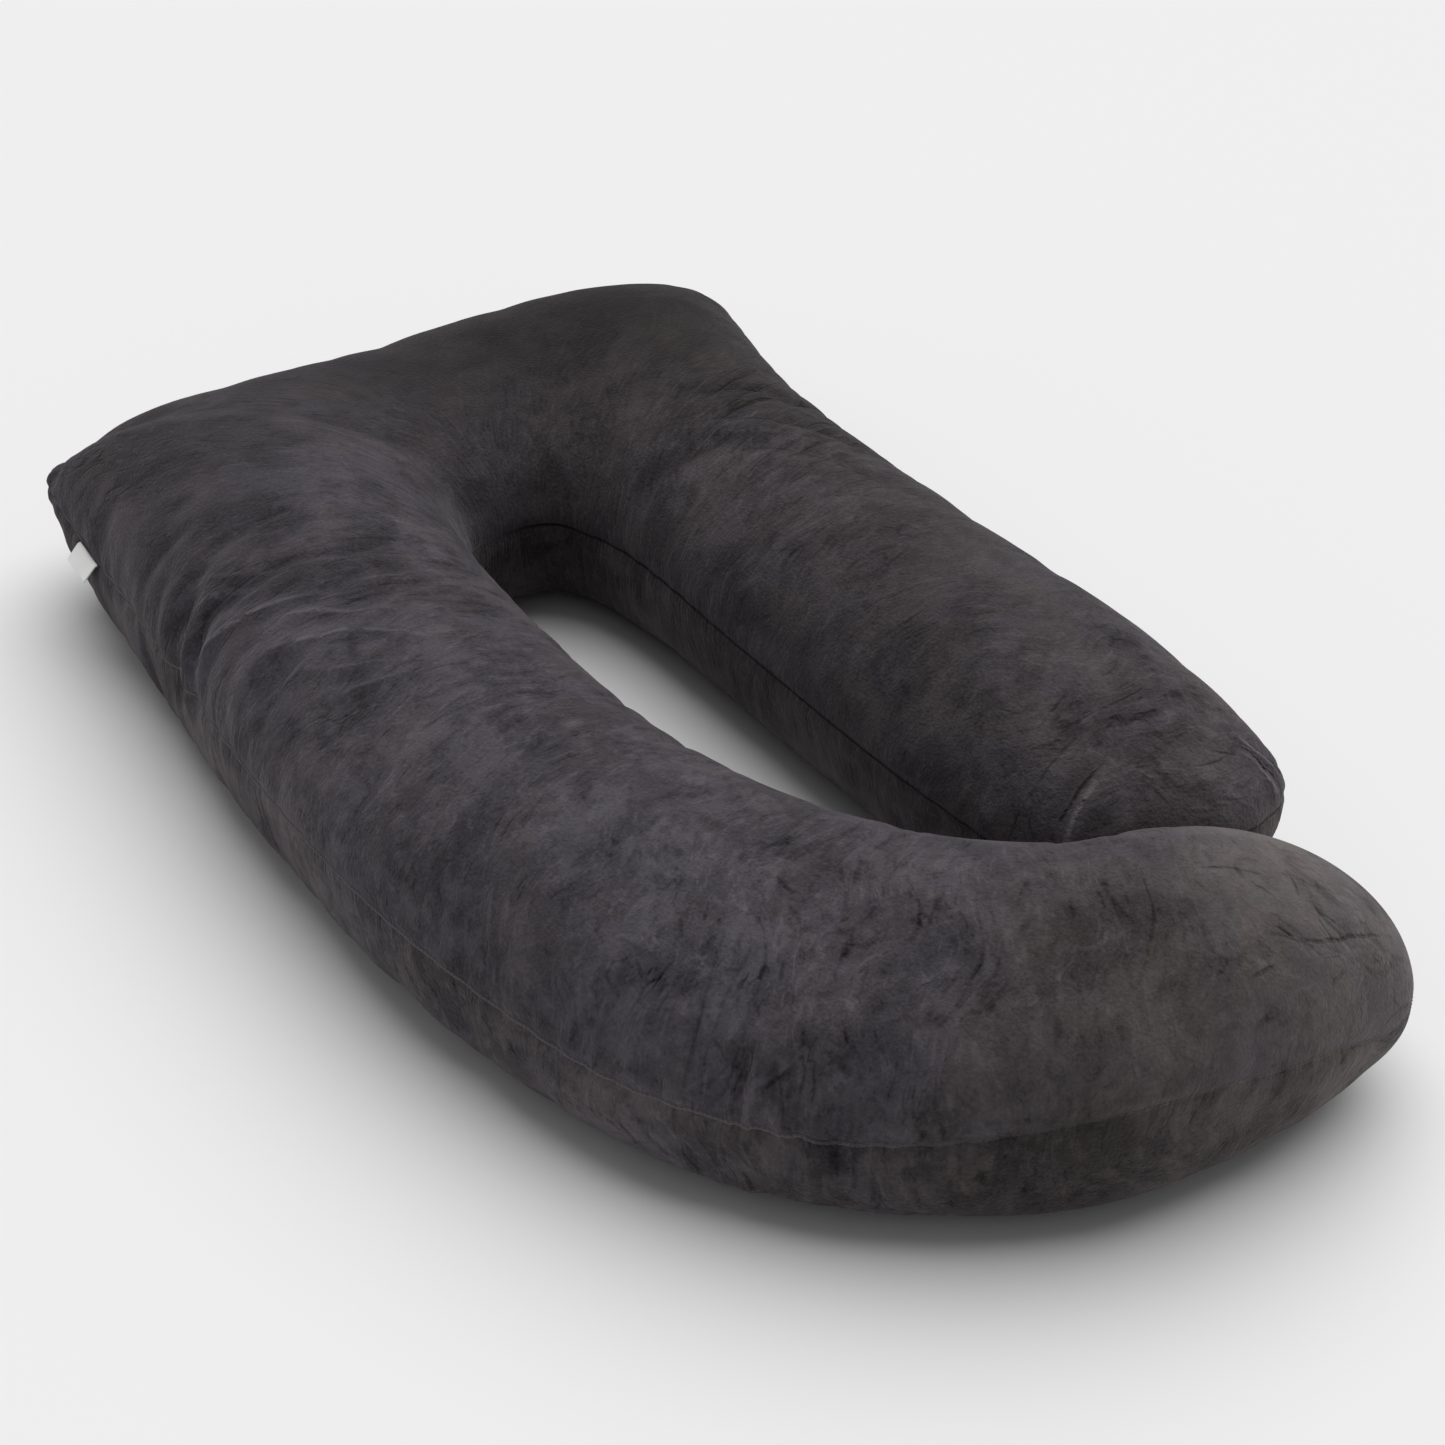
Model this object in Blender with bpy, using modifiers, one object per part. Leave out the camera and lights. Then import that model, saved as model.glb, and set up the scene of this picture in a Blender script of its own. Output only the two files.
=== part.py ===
"""U-shaped pregnancy pillow, lying on its back: a plump velour U, one arm hooked across the foot end.

X runs across the pillow, Y from the foot end to the head end, Z up from the floor that it lies on.
The origin is under the middle of the whole outline. Sizes are in metres, and the tables' places are
measured from a point between the two arms, which the last step moves to the origin.
"""
from collections import namedtuple
from math import pi

import bmesh
import bpy
import numpy as np
from mathutils import Matrix

# Sizes of the pillow
REST_DEPTH = 0.115           # the underside lies flat wherever the filling swells lower than this
SEAM_TUCK = 0.004            # the stitched seam is drawn in by this much
FACES_ACROSS = 16            # faces across each panel, from seam to seam
HANDLE = 0.36                # length of a curve's handle, as a share of its stretch
CROWDING = 1.5               # how far rows crowd towards both ends, where the skin turns down to the seam
PUCKER_PITCH = 0.042         # distance between two puckers along a seam
PUCKER_DEPTH = 0.0045        # depth of a full pucker
PUCKER_REACH = 0.050         # how far up the cloth a pucker runs from its seam
PUCKER_DRIFT = 0.9           # how far, in radians, the puckers stray from an even pitch
PUCKER_CYCLE = 7.3           # puckers in one round of that straying
FOLD_STEPS = 25              # points along a fold
FLOOR_FADE = 0.030           # folds die out below this height, so that the base stays flat
WELD = 0.00001

# Sizes of the side label, a strip folded in two with its ends caught in the seam
LABEL_WIDTH = 0.050
LABEL_LENGTH = 0.022
LABEL_LAYER = 0.0008
LABEL_GAP = 0.0010
LABEL_DROOP = 0.87           # angle, in radians, at which it hangs below the level
LABEL_BEND = 0.005           # radius of the bend beside the seam that lets it hang
LABEL_CLEAR = 0.0004
LABEL_PLACE = 0.1320         # distance of its middle from the head end's corner, along the seam
LABEL_STEPS = 5
LABEL_ROWS = 13              # points along each layer
LABEL_SECTION = 7            # the section at the head end's corner beside the label

COLLECTION = "u_shaped_pregnancy_pillow"
VELOUR = (0.048, 0.045, 0.049)
VELOUR_ROUGHNESS = 0.85
LABEL_WHITE = (0.86, 0.86, 0.84)
LABEL_ROUGHNESS = 0.6

# One row for each section across the arm, from the end of the straight arm, up it, across the head end,
# and down the other arm to the tip of its hook. The outer and inner points lie on the seam, and seam is
# its height above the floor. A bow rounds the section out along the arm, fill is the crown's share of a
# half-circle, and pucker is how hard the seam gathers there. Faces counts the rows of faces to the next
# section.
Section = namedtuple("Section", "place outer_x outer_y inner_x inner_y seam bow fill pucker faces")
SECTIONS = (
    Section("straight end",       0.357, -0.376,  0.078, -0.326, 0.122, -0.075, 0.84, 0.4, 15),
    Section("straight low",       0.357, -0.200,  0.056, -0.180, 0.125,  0.000, 0.76, 0.3, 12),
    Section("straight mid",       0.323,  0.080,  0.040,  0.050, 0.125,  0.000, 0.76, 0.3, 18),
    Section("straight neck",      0.308,  0.360,  0.027,  0.235, 0.125,  0.000, 0.74, 0.5, 12),
    Section("head corner, side",  0.360,  0.654,  0.006,  0.312, 0.122,  0.000, 0.59, 0.4,  4),
    Section("head corner, end",   0.324,  0.697, -0.016,  0.333, 0.122,  0.000, 0.55, 0.4, 20),
    Section("label corner, end", -0.398,  0.674, -0.080,  0.333, 0.119,  0.000, 0.62, 0.5,  4),
    Section("label corner, side", -0.418, 0.642, -0.100,  0.312, 0.121,  0.000, 0.68, 0.5, 12),
    Section("hooked neck",       -0.430,  0.370, -0.122,  0.235, 0.125,  0.000, 0.76, 0.6, 20),
    Section("hooked mid",        -0.438,  0.055, -0.122,  0.050, 0.125,  0.000, 0.76, 0.2, 12),
    Section("hooked low",        -0.407, -0.242, -0.100, -0.150, 0.125,  0.000, 0.78, 0.3, 15),
    Section("bend",              -0.298, -0.510, -0.020, -0.320, 0.125,  0.000, 0.80, 1.0, 20),
    Section("foot",              -0.074, -0.682,  0.085, -0.428, 0.130,  0.000, 0.82, 0.6,  8),
    Section("hook",               0.110, -0.703,  0.145, -0.450, 0.147,  0.000, 0.81, 0.3, 10),
    Section("hook tip",           0.232, -0.680,  0.187, -0.446, 0.102,  0.098, 0.90, 0.3,  0),
)

# One row for each main fold: a trough in the cloth along a bent line over the plan, deepest in its middle.
Fold = namedtuple("Fold", "place from_x from_y by_x by_y to_x to_y depth width")
FOLDS = (
    Fold("seam crease, neck",      -0.450,  0.262, -0.405,  0.275, -0.340,  0.325, 0.011, 0.027),
    Fold("long arc, first",        -0.430,  0.205, -0.380,  0.245, -0.240,  0.205, 0.006, 0.018),
    Fold("long arc, second",       -0.420,  0.150, -0.360,  0.185, -0.220,  0.130, 0.005, 0.018),
    Fold("end crease, deep",        0.100, -0.400,  0.135, -0.345,  0.190, -0.310, 0.012, 0.027),
    Fold("end crease, inner",       0.060, -0.315,  0.100, -0.280,  0.150, -0.255, 0.006, 0.024),
    Fold("waist wrinkle, first",    0.110,  0.345,  0.210,  0.375,  0.300,  0.345, 0.005, 0.015),
    Fold("waist wrinkle, second",   0.110,  0.295,  0.210,  0.315,  0.305,  0.285, 0.006, 0.015),
    Fold("waist wrinkle, third",    0.120,  0.245,  0.220,  0.255,  0.315,  0.225, 0.006, 0.015),
    Fold("waist wrinkle, fourth",   0.130,  0.190,  0.230,  0.190,  0.320,  0.160, 0.005, 0.015),
    Fold("label corner",           -0.400,  0.655, -0.350,  0.615, -0.290,  0.585, 0.008, 0.024),
    Fold("bend pleat",             -0.285, -0.520, -0.240, -0.465, -0.205, -0.395, 0.006, 0.020),
)

# One row for each broad hollow (below zero) or mound that use has left in the filling of the top.
Swell = namedtuple("Swell", "place x y height radius")
SWELLS = (
    Swell("hollow in head end",   -0.070,  0.540, -0.030, 0.140),
    Swell("mound by head corner",  0.230,  0.570,  0.008, 0.110),
    Swell("slack straight neck",   0.180,  0.300, -0.008, 0.120),
    Swell("plump straight low",    0.220, -0.180,  0.006, 0.120),
    Swell("plump hooked mid",     -0.280, -0.020,  0.006, 0.140),
    Swell("slack bend",           -0.160, -0.420, -0.006, 0.110),
    Swell("plump hook",            0.150, -0.560,  0.006, 0.110),
)


def clear_scene():
    for old in list(bpy.data.objects):
        bpy.data.objects.remove(old, do_unlink=True)


def fabric(name, colour, roughness):
    """A plain material in one colour."""
    material = bpy.data.materials.new(name)
    material.use_nodes = True
    shader = material.node_tree.nodes["Principled BSDF"]
    shader.inputs["Base Color"].default_value = (*colour, 1.0)
    shader.inputs["Roughness"].default_value = roughness
    shader.inputs["Metallic"].default_value = 0.0
    return material


def solid(name, shape, material):
    """An object in the pillow's collection, made from a finished mesh in bmesh."""
    mesh = bpy.data.meshes.new(name)
    shape.to_mesh(mesh)
    shape.free()
    mesh.shade_smooth()
    mesh.materials.append(material)
    made = bpy.data.objects.new(name, mesh)
    bpy.data.collections[COLLECTION].objects.link(made)
    return made


def bezier(start, handle_a, handle_b, end, t):
    """Points along one cubic curve at the shares t of its run."""
    t = t[:, None]
    return ((1 - t) ** 3 * start + 3 * (1 - t) ** 2 * t * handle_a
            + 3 * (1 - t) * t ** 2 * handle_b + t ** 3 * end)


def smooth_line(points, last_heading=None):
    """A smooth line through one point a section, with one point of its own for each row of faces."""
    points = np.array(points, dtype=float)
    heading = np.gradient(points, axis=0)
    heading /= np.maximum(np.linalg.norm(heading, axis=1), 1e-9)[:, None]
    if last_heading is not None:
        heading[-1] = last_heading
    pieces = []
    for index, section in enumerate(SECTIONS[:-1]):
        start, end = points[index], points[index + 1]
        reach = HANDLE * np.linalg.norm(end - start)
        leave = heading[index] * reach
        arrive = heading[index + 1] * reach
        share = np.linspace(0.0, 1.0, section.faces, endpoint=False)
        if index == 0:
            share = share ** CROWDING
        elif index == len(SECTIONS) - 2:
            share = 1.0 - (1.0 - share) ** CROWDING
        pieces.append(bezier(start, start + leave, end - arrive, end, share))
    pieces.append(points[-1:])
    return np.vstack(pieces)


def seam_lines():
    """The outer and the inner seam, seen from above, one point for each row of the cloth."""
    outer = np.array([(s.outer_x, s.outer_y) for s in SECTIONS])
    inner = np.array([(s.inner_x, s.inner_y) for s in SECTIONS])
    across = (inner[-1] - outer[-1]) / np.linalg.norm(inner[-1] - outer[-1])
    along = np.array((across[1], -across[0]))
    return smooth_line(outer, along), smooth_line(inner, along)


def column(values):
    """One number of the sections' table, eased from section to section."""
    return smooth_line([(index, value) for index, value in enumerate(values)])[:, 1]


def plan_lattice():
    """Points of a panel seen from above: rows along the arms, each a flat arc from outer to inner seam."""
    outer, inner = seam_lines()
    middle = (outer + inner) / 2
    half = (outer - inner) / 2
    along = np.stack([-half[:, 1], half[:, 0]], axis=1) / np.linalg.norm(half, axis=1)[:, None]
    bow = along * column([s.bow for s in SECTIONS])[:, None]
    angle = np.linspace(0.0, pi, FACES_ACROSS + 1)[None, :, None]
    return middle[:, None] + half[:, None] * np.cos(angle) + bow[:, None] * np.sin(angle)


def film_height(plan):
    """How high a film swells over the plan when its rim is held down: a half-circle on a straight stretch.

    The pressed film's sag u has a Laplacian of minus one, and the height is the root of 2 u.
    """
    rows, columns = plan.shape[:2]
    number = np.arange(rows * columns).reshape(rows, columns)
    quad = (number[:-1, :-1], number[1:, :-1], number[1:, 1:], number[:-1, 1:])
    halves = [np.stack([quad[corner] for corner in half], axis=-1) for half in ((0, 1, 2), (0, 2, 3))]
    triangles = np.concatenate(halves).reshape(-1, 3)
    corner = plan.reshape(-1, 2)[triangles]
    side = corner[:, (2, 0, 1)] - corner[:, (1, 2, 0)]
    area = abs(side[:, 0, 0] * side[:, 1, 1] - side[:, 0, 1] * side[:, 1, 0]) / 2
    stiffness = np.zeros((rows * columns, rows * columns))
    load = np.zeros(rows * columns)
    for a in range(3):
        np.add.at(load, triangles[:, a], area / 3)
        for b in range(3):
            share = (side[:, a] * side[:, b]).sum(axis=1) / (4 * area)
            np.add.at(stiffness, (triangles[:, a], triangles[:, b]), share)
    free = number[1:-1, 1:-1].ravel()
    sag = np.zeros(rows * columns)
    sag[free] = np.linalg.solve(stiffness[np.ix_(free, free)], load[free])
    return np.sqrt(2 * sag).reshape(rows, columns)


def pucker_depth(plan):
    """How deep the seams' gathers press into each point of a panel."""
    strength = column([s.pucker for s in SECTIONS])[:, None]
    depth = np.zeros(plan.shape[:2])
    for edge in (0, -1):
        step = np.linalg.norm(np.diff(plan[:, edge], axis=0), axis=1)
        turn = 2 * pi * np.concatenate([[0.0], np.cumsum(step)])[:, None] / PUCKER_PITCH
        wave = 0.5 + 0.5 * np.cos(turn + PUCKER_DRIFT * np.sin(turn / PUCKER_CYCLE))
        away = np.linalg.norm(plan - plan[:, edge][:, None], axis=2)
        depth += wave * strength * np.exp(-(away / PUCKER_REACH) ** 2)
    return depth * PUCKER_DEPTH


def fold_depth(plan):
    """How deep the folds press into each point of a panel."""
    depth = np.zeros(plan.shape[:2])
    share = np.linspace(0.0, 1.0, FOLD_STEPS)[:, None]
    for fold in FOLDS:
        start, by, end = np.array(fold[1:7]).reshape(3, 2)
        line = (1 - share) ** 2 * start + 2 * (1 - share) * share * by + share ** 2 * end
        away = np.linalg.norm(plan[:, :, None] - line, axis=3)
        strength = np.sqrt(np.sin(pi * share[away.argmin(axis=2), 0]))
        depth += fold.depth * strength * np.exp(-(away.min(axis=2) / fold.width) ** 2)
    return depth


def swell_height(plan):
    """Broad mounds and hollows of the filling, for each point of the top panel."""
    height = np.zeros(plan.shape[:2])
    for swell in SWELLS:
        away = np.linalg.norm(plan - (swell.x, swell.y), axis=2)
        height += swell.height * np.exp(-(away / swell.radius) ** 2)
    return height


def pillow(material):
    """The stuffed cover as one solid: two panels, each a grid shaped in place, joined at the seam."""
    plan = plan_lattice()
    rows = len(plan)
    seam = column([s.seam for s in SECTIONS])[:, None]
    swollen = film_height(plan) * column([s.fill for s in SECTIONS])[:, None]
    crowned = seam + swollen + swell_height(plan) * swollen / swollen.max()
    pressed = np.clip(swollen / REST_DEPTH, 0.0, 1.0)
    lying = seam * (1.0 - np.sin(pressed * pi / 2))
    press = pucker_depth(plan) + fold_depth(plan)

    shape = bmesh.new()
    depth_of = shape.verts.layers.float.new("depth")
    for height in (crowned, lying):
        grid = bmesh.ops.create_grid(shape, x_segments=FACES_ACROSS, y_segments=rows - 1, size=1.0)
        places = np.dstack([plan, height]).reshape(-1, 3)
        for vertex, place, depth in zip(grid["verts"], places, press.ravel()):
            vertex.co = place
            vertex[depth_of] = depth
    rim = [vertex for vertex in shape.verts if vertex.is_boundary]
    bmesh.ops.remove_doubles(shape, verts=rim, dist=WELD)
    bmesh.ops.recalc_face_normals(shape, faces=shape.faces)
    shape.normal_update()

    for vertex in rim:
        if vertex.is_valid:
            vertex[depth_of] += SEAM_TUCK
    moves = [vertex.normal * vertex[depth_of] * min(vertex.co.z / FLOOR_FADE, 1.0) for vertex in shape.verts]
    for vertex, move in zip(shape.verts, moves):
        vertex.co -= move
    return solid("pillow", shape, material)


def label(material):
    """The blank side label: one strip folded in two, its ends a hair's breadth clear of the seam."""
    outer = seam_lines()[0]
    corner = SECTIONS[LABEL_SECTION]
    first = int(np.linalg.norm(outer - (corner.outer_x, corner.outer_y), axis=1).argmin())
    step = np.linalg.norm(np.diff(outer[first:], axis=0), axis=1)
    from_corner = np.concatenate([[0.0], np.cumsum(step)])
    spread = LABEL_PLACE + LABEL_WIDTH * np.linspace(-0.5, 0.5, LABEL_STEPS + 1)
    root = np.stack([np.interp(spread, from_corner, outer[first:, axis]) for axis in (0, 1)], axis=1)
    heading = root[-1] - root[0]
    away = np.array((heading[1], -heading[0])) / np.linalg.norm(heading)

    half = (LABEL_GAP + LABEL_LAYER) / 2
    reach = LABEL_LENGTH - half
    turn = np.linspace(pi / 2, -pi / 2, LABEL_STEPS + 1)
    flats = np.linspace(0.0, reach, LABEL_ROWS)[:-1]
    path = [(run, half) for run in flats]
    path += [(reach + half * np.cos(angle), half * np.sin(angle)) for angle in turn]
    path += [(run, -half) for run in flats[::-1]]

    shape = bmesh.new()
    grid = bmesh.ops.create_grid(shape, x_segments=len(path) - 1, y_segments=LABEL_STEPS, size=1.0)
    places = [(place, run, layer) for place in root for run, layer in path]
    for vertex, (place, run, layer) in zip(grid["verts"], places):
        bent = min(run / LABEL_BEND, LABEL_DROOP)
        straight = run - LABEL_BEND * bent
        out = (LABEL_BEND + layer) * np.sin(bent) + straight * np.cos(bent)
        down = LABEL_BEND - (LABEL_BEND + layer) * np.cos(bent) + straight * np.sin(bent)
        x, y = place + away * (out - SEAM_TUCK + LABEL_CLEAR)
        vertex.co = (x, y, corner.seam - down)
    strip = solid("label", shape, material)
    thickness = strip.modifiers.new("cloth thickness", "SOLIDIFY")
    thickness.thickness = LABEL_LAYER
    thickness.offset = 0.0
    return strip


def centre(pieces):
    """Moves the meshes so that the origin is under the middle of the whole outline."""
    bpy.context.view_layer.update()
    corners = np.array([corner for piece in pieces for corner in piece.bound_box])
    middle = (corners.min(axis=0) + corners.max(axis=0)) / 2
    for piece in pieces:
        piece.data.transform(Matrix.Translation((-middle[0], -middle[1], 0.0)))


clear_scene()
bpy.context.scene.collection.children.link(bpy.data.collections.new(COLLECTION))
centre([
    pillow(fabric("velour", VELOUR, VELOUR_ROUGHNESS)),
    label(fabric("label cloth", LABEL_WHITE, LABEL_ROUGHNESS)),
])
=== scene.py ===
# %% [markdown]
# # A u-shaped pregnancy pillow in velour
#
# The real pillow is a long cover of short-pile velour, sewn from two panels with one seam round the
# whole outline and stuffed with polyester fibre until it is plump. It lies on its back, with the longer
# arm hooked across the foot end, and a small folded label is caught in the side seam.
#
# Almost everything that the eye sees is soft: a swollen form, wrinkles where the arms bend, puckers along
# the seam, and a pile that shows every brush stroke. So the form comes from a short table of sections, the
# wrinkles from a cloth simulation, and the pile from a material.

from collections import namedtuple
from math import cos, pi, radians, sin

import bmesh
import bpy
import numpy as np
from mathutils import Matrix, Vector
from mathutils.kdtree import KDTree


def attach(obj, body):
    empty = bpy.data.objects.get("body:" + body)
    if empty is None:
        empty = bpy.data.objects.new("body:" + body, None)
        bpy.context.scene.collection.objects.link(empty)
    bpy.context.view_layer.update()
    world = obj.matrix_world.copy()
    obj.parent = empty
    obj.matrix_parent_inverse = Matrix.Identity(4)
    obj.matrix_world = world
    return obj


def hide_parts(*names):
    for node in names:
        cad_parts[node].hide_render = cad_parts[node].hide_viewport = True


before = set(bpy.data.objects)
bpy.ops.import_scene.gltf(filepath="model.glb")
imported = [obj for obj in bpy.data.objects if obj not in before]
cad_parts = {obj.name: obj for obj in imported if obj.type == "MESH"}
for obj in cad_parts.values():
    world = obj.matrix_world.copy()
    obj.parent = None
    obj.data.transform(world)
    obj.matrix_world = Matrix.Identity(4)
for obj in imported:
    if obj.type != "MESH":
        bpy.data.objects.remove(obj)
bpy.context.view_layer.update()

# %% [markdown]
# ## The view
#
# The camera stands to the left of the foot end and looks down at 35 degrees. A long lens from about three
# metres keeps the near arm from looking swollen, as the real picture does. The image is square, so the
# sensor's width sets the field of view both ways.

# %% Place the camera
LOOK_AT = Vector((0.0420, 0.0029, 0.080))
TURNED = radians(-30)        # round the pillow, from straight behind the foot end
RAISED = radians(35)
DISTANCE = 3.05
LENS = 81.6                  # millimetres
SENSOR = 36                  # millimetres too


def made_object(name, data):
    """A new object in the scene, with its mesh, camera or light."""
    made = bpy.data.objects.new(name, data)
    bpy.context.scene.collection.objects.link(made)
    return made


towards_camera = Vector((sin(TURNED) * cos(RAISED), -cos(TURNED) * cos(RAISED), sin(RAISED)))
camera = made_object("camera", bpy.data.cameras.new("camera"))
camera.location = LOOK_AT + DISTANCE * towards_camera
camera.rotation_mode = "QUATERNION"
camera.rotation_quaternion = (-towards_camera).to_track_quat("-Z", "Y")
camera.data.lens = LENS
camera.data.sensor_width = SENSOR
bpy.context.scene.camera = camera
print("camera at", [round(c, 3) for c in camera.location])

# %% [markdown]
# ## Materials, one node at a time
#
# A node material is a graph. This helper adds one node, sets its properties, and either links each input
# to another node's output or gives it a plain value, so that a graph reads from top to bottom.

# %% Define a helper for node graphs
def add_node(tree, kind, inputs=(), **settings):
    """One node in a tree. Inputs go by name or number, to an output socket or to a value."""
    made = tree.nodes.new(kind)
    for name, value in settings.items():
        setattr(made, name, value)
    for name, value in dict(inputs).items():
        if isinstance(value, bpy.types.NodeSocket):
            tree.links.new(value, made.inputs[name])
        else:
            made.inputs[name].default_value = value
    return made


def empty_material(name, values):
    """A material with only the two nodes that every one needs, and the shader's plain values set."""
    material = bpy.data.materials.new(name)
    material.use_nodes = True
    tree = material.node_tree
    tree.nodes.clear()
    shader = add_node(tree, "ShaderNodeBsdfPrincipled", values)
    add_node(tree, "ShaderNodeOutputMaterial", {"Surface": shader.outputs["BSDF"]})
    return material, tree, shader


# %% [markdown]
# ## The studio
#
# A pale floor and a pale surround, with one broad light from high above, a little behind and to the right.
# A sun lamp with a very wide angle is the simplest soft light: it falls evenly on the whole floor, and its
# shadows have no hard edge. The surround stays dim, so that the cloth below the seam falls into shade.

# %% Build the floor, the surround and the light
FLOOR_SIZE = 60.0
FLOOR_COLOUR = (0.82, 0.82, 0.82, 1.0)
LIGHT_FROM = Vector((0.33, 0.20, 1.0))
LIGHT_STRENGTH = 2.6
LIGHT_ANGLE = radians(75)
SURROUND_STRENGTH = 0.28

half_floor = FLOOR_SIZE / 2
floor_corners = [(x, y, 0.0) for x, y in ((-half_floor, -half_floor), (half_floor, -half_floor),
                                          (half_floor, half_floor), (-half_floor, half_floor))]
floor_mesh = bpy.data.meshes.new("floor")
floor_mesh.from_pydata(floor_corners, [], [(0, 1, 2, 3)])
floor = made_object("floor", floor_mesh)
floor_mesh.materials.append(empty_material("pale floor", {"Base Color": FLOOR_COLOUR, "Roughness": 0.9})[0])

world = bpy.data.worlds.new("pale surround")
bpy.context.scene.world = world
world.use_nodes = True
background = world.node_tree.nodes["Background"]
background.inputs["Color"].default_value = (1.0, 1.0, 1.0, 1.0)
background.inputs["Strength"].default_value = SURROUND_STRENGTH

broad_light = bpy.data.lights.new("broad light", "SUN")
broad_light.energy = LIGHT_STRENGTH
broad_light.angle = LIGHT_ANGLE
light_holder = made_object("broad light", broad_light)
light_holder.rotation_mode = "QUATERNION"
light_holder.rotation_quaternion = (-LIGHT_FROM).to_track_quat("-Z", "Y")
bpy.context.scene.view_settings.view_transform = "Standard"
print("light from", [round(c, 2) for c in LIGHT_FROM.normalized()])

# %% [markdown]
# ## The pillow's plan
#
# Seen from above, the pillow is a strip bent into a U, with one seam on its outer side and one on its inner
# side. A table with one row for each section across the arm says where those two seams run, how high the
# seam lies there, and how full the stuffing is. Smooth curves run through the table's points, so a change
# to one number moves a whole stretch of the arm gently.

# %% List the sections across the arm
CENTRE = (0.04195, 0.00286)  # the frame's origin lies this far from the table's zero
FACES_ACROSS = 16
HANDLE = 0.36                # length of a curve's handle, as a share of its stretch
CROWDING = 1.5               # rows crowd towards both ends, where the cloth turns down to the seam

# Where the section meets the outer and the inner seam, how high the seam lies, how far the section bows
# along the arm, how full it is stuffed, and how many rows of faces follow before the next one.
Section = namedtuple("Section", "place outer_x outer_y inner_x inner_y seam bow fill faces")
SECTIONS = (
    Section("straight end",        0.357, -0.376,  0.078, -0.326, 0.122, -0.075, 0.84, 15),
    Section("straight low",        0.357, -0.200,  0.056, -0.180, 0.125,  0.000, 0.76, 12),
    Section("straight mid",        0.323,  0.080,  0.040,  0.050, 0.125,  0.000, 0.76, 18),
    Section("straight neck",       0.308,  0.360,  0.027,  0.235, 0.125,  0.000, 0.74, 12),
    Section("head corner, side",   0.360,  0.654,  0.006,  0.312, 0.122,  0.000, 0.59,  4),
    Section("head corner, end",    0.324,  0.697, -0.016,  0.333, 0.122,  0.000, 0.55, 20),
    Section("label corner, end",  -0.398,  0.674, -0.080,  0.333, 0.119,  0.000, 0.62,  4),
    Section("label corner, side", -0.418,  0.642, -0.100,  0.312, 0.121,  0.000, 0.68, 12),
    Section("hooked neck",        -0.430,  0.370, -0.122,  0.235, 0.125,  0.000, 0.76, 20),
    Section("hooked mid",         -0.438,  0.055, -0.122,  0.050, 0.125,  0.000, 0.76, 12),
    Section("hooked low",         -0.407, -0.242, -0.100, -0.150, 0.125,  0.000, 0.78, 15),
    Section("bend",               -0.298, -0.510, -0.020, -0.320, 0.125,  0.000, 0.80, 20),
    Section("foot",               -0.074, -0.682,  0.085, -0.428, 0.130,  0.000, 0.82,  8),
    Section("hook",                0.110, -0.703,  0.145, -0.450, 0.147,  0.000, 0.81, 10),
    Section("hook tip",            0.232, -0.680,  0.187, -0.446, 0.102,  0.098, 0.90,  0),
)
print(len(SECTIONS), "sections,", sum(section.faces for section in SECTIONS), "rows of faces")


# %% Draw the two seams and the lattice between them
def smooth_line(points, last_heading=None):
    """A smooth line through one point a section, with a point of its own for each row of faces."""
    points = np.array(points, dtype=float)
    heading = np.gradient(points, axis=0)
    heading /= np.maximum(np.linalg.norm(heading, axis=1), 1e-9)[:, None]
    if last_heading is not None:
        heading[-1] = last_heading
    pieces = []
    for index, section in enumerate(SECTIONS[:-1]):
        start, end = points[index], points[index + 1]
        reach = HANDLE * np.linalg.norm(end - start)
        t = np.linspace(0.0, 1.0, section.faces, endpoint=False)
        if index == 0:
            t = t ** CROWDING
        elif index == len(SECTIONS) - 2:
            t = 1.0 - (1.0 - t) ** CROWDING
        t = t[:, None]
        leave, arrive = start + heading[index] * reach, end - heading[index + 1] * reach
        pieces.append((1 - t) ** 3 * start + 3 * (1 - t) ** 2 * t * leave
                      + 3 * (1 - t) * t ** 2 * arrive + t ** 3 * end)
    pieces.append(points[-1:])
    return np.vstack(pieces)


def run_of(line):
    """How far along a line each of its points lies."""
    return np.concatenate([[0.0], np.cumsum(np.linalg.norm(np.diff(line, axis=0), axis=1))])


def column(values):
    """One number of the table, eased from section to section."""
    return smooth_line([(index, value) for index, value in enumerate(values)])[:, 1]


outer = np.array([(s.outer_x, s.outer_y) for s in SECTIONS]) + CENTRE
inner = np.array([(s.inner_x, s.inner_y) for s in SECTIONS]) + CENTRE
across_tip = (inner[-1] - outer[-1]) / np.linalg.norm(inner[-1] - outer[-1])
past_tip = np.array((across_tip[1], -across_tip[0]))
outer_seam, inner_seam = smooth_line(outer, past_tip), smooth_line(inner, past_tip)
half_width = (outer_seam - inner_seam) / 2
along = np.stack([-half_width[:, 1], half_width[:, 0]], axis=1)
along /= np.linalg.norm(half_width, axis=1)[:, None]
angle = np.linspace(0.0, pi, FACES_ACROSS + 1)[None, :, None]
plan = ((outer_seam + inner_seam)[:, None] / 2 + half_width[:, None] * np.cos(angle)
        + (along * column([s.bow for s in SECTIONS])[:, None])[:, None] * np.sin(angle))
print("lattice of", plan.shape[0], "by", plan.shape[1], "points")


# %% [markdown]
# ## How high the stuffing lifts the cloth
#
# A stuffed cover swells like a soap film held down round its rim. The film's height obeys Poisson's
# equation, which a small finite-element solve gives for any outline: this is why the wide head end rises
# higher than the arms without any extra numbers. The square root turns the film's parabola into the round
# section of a full arm.

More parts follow.
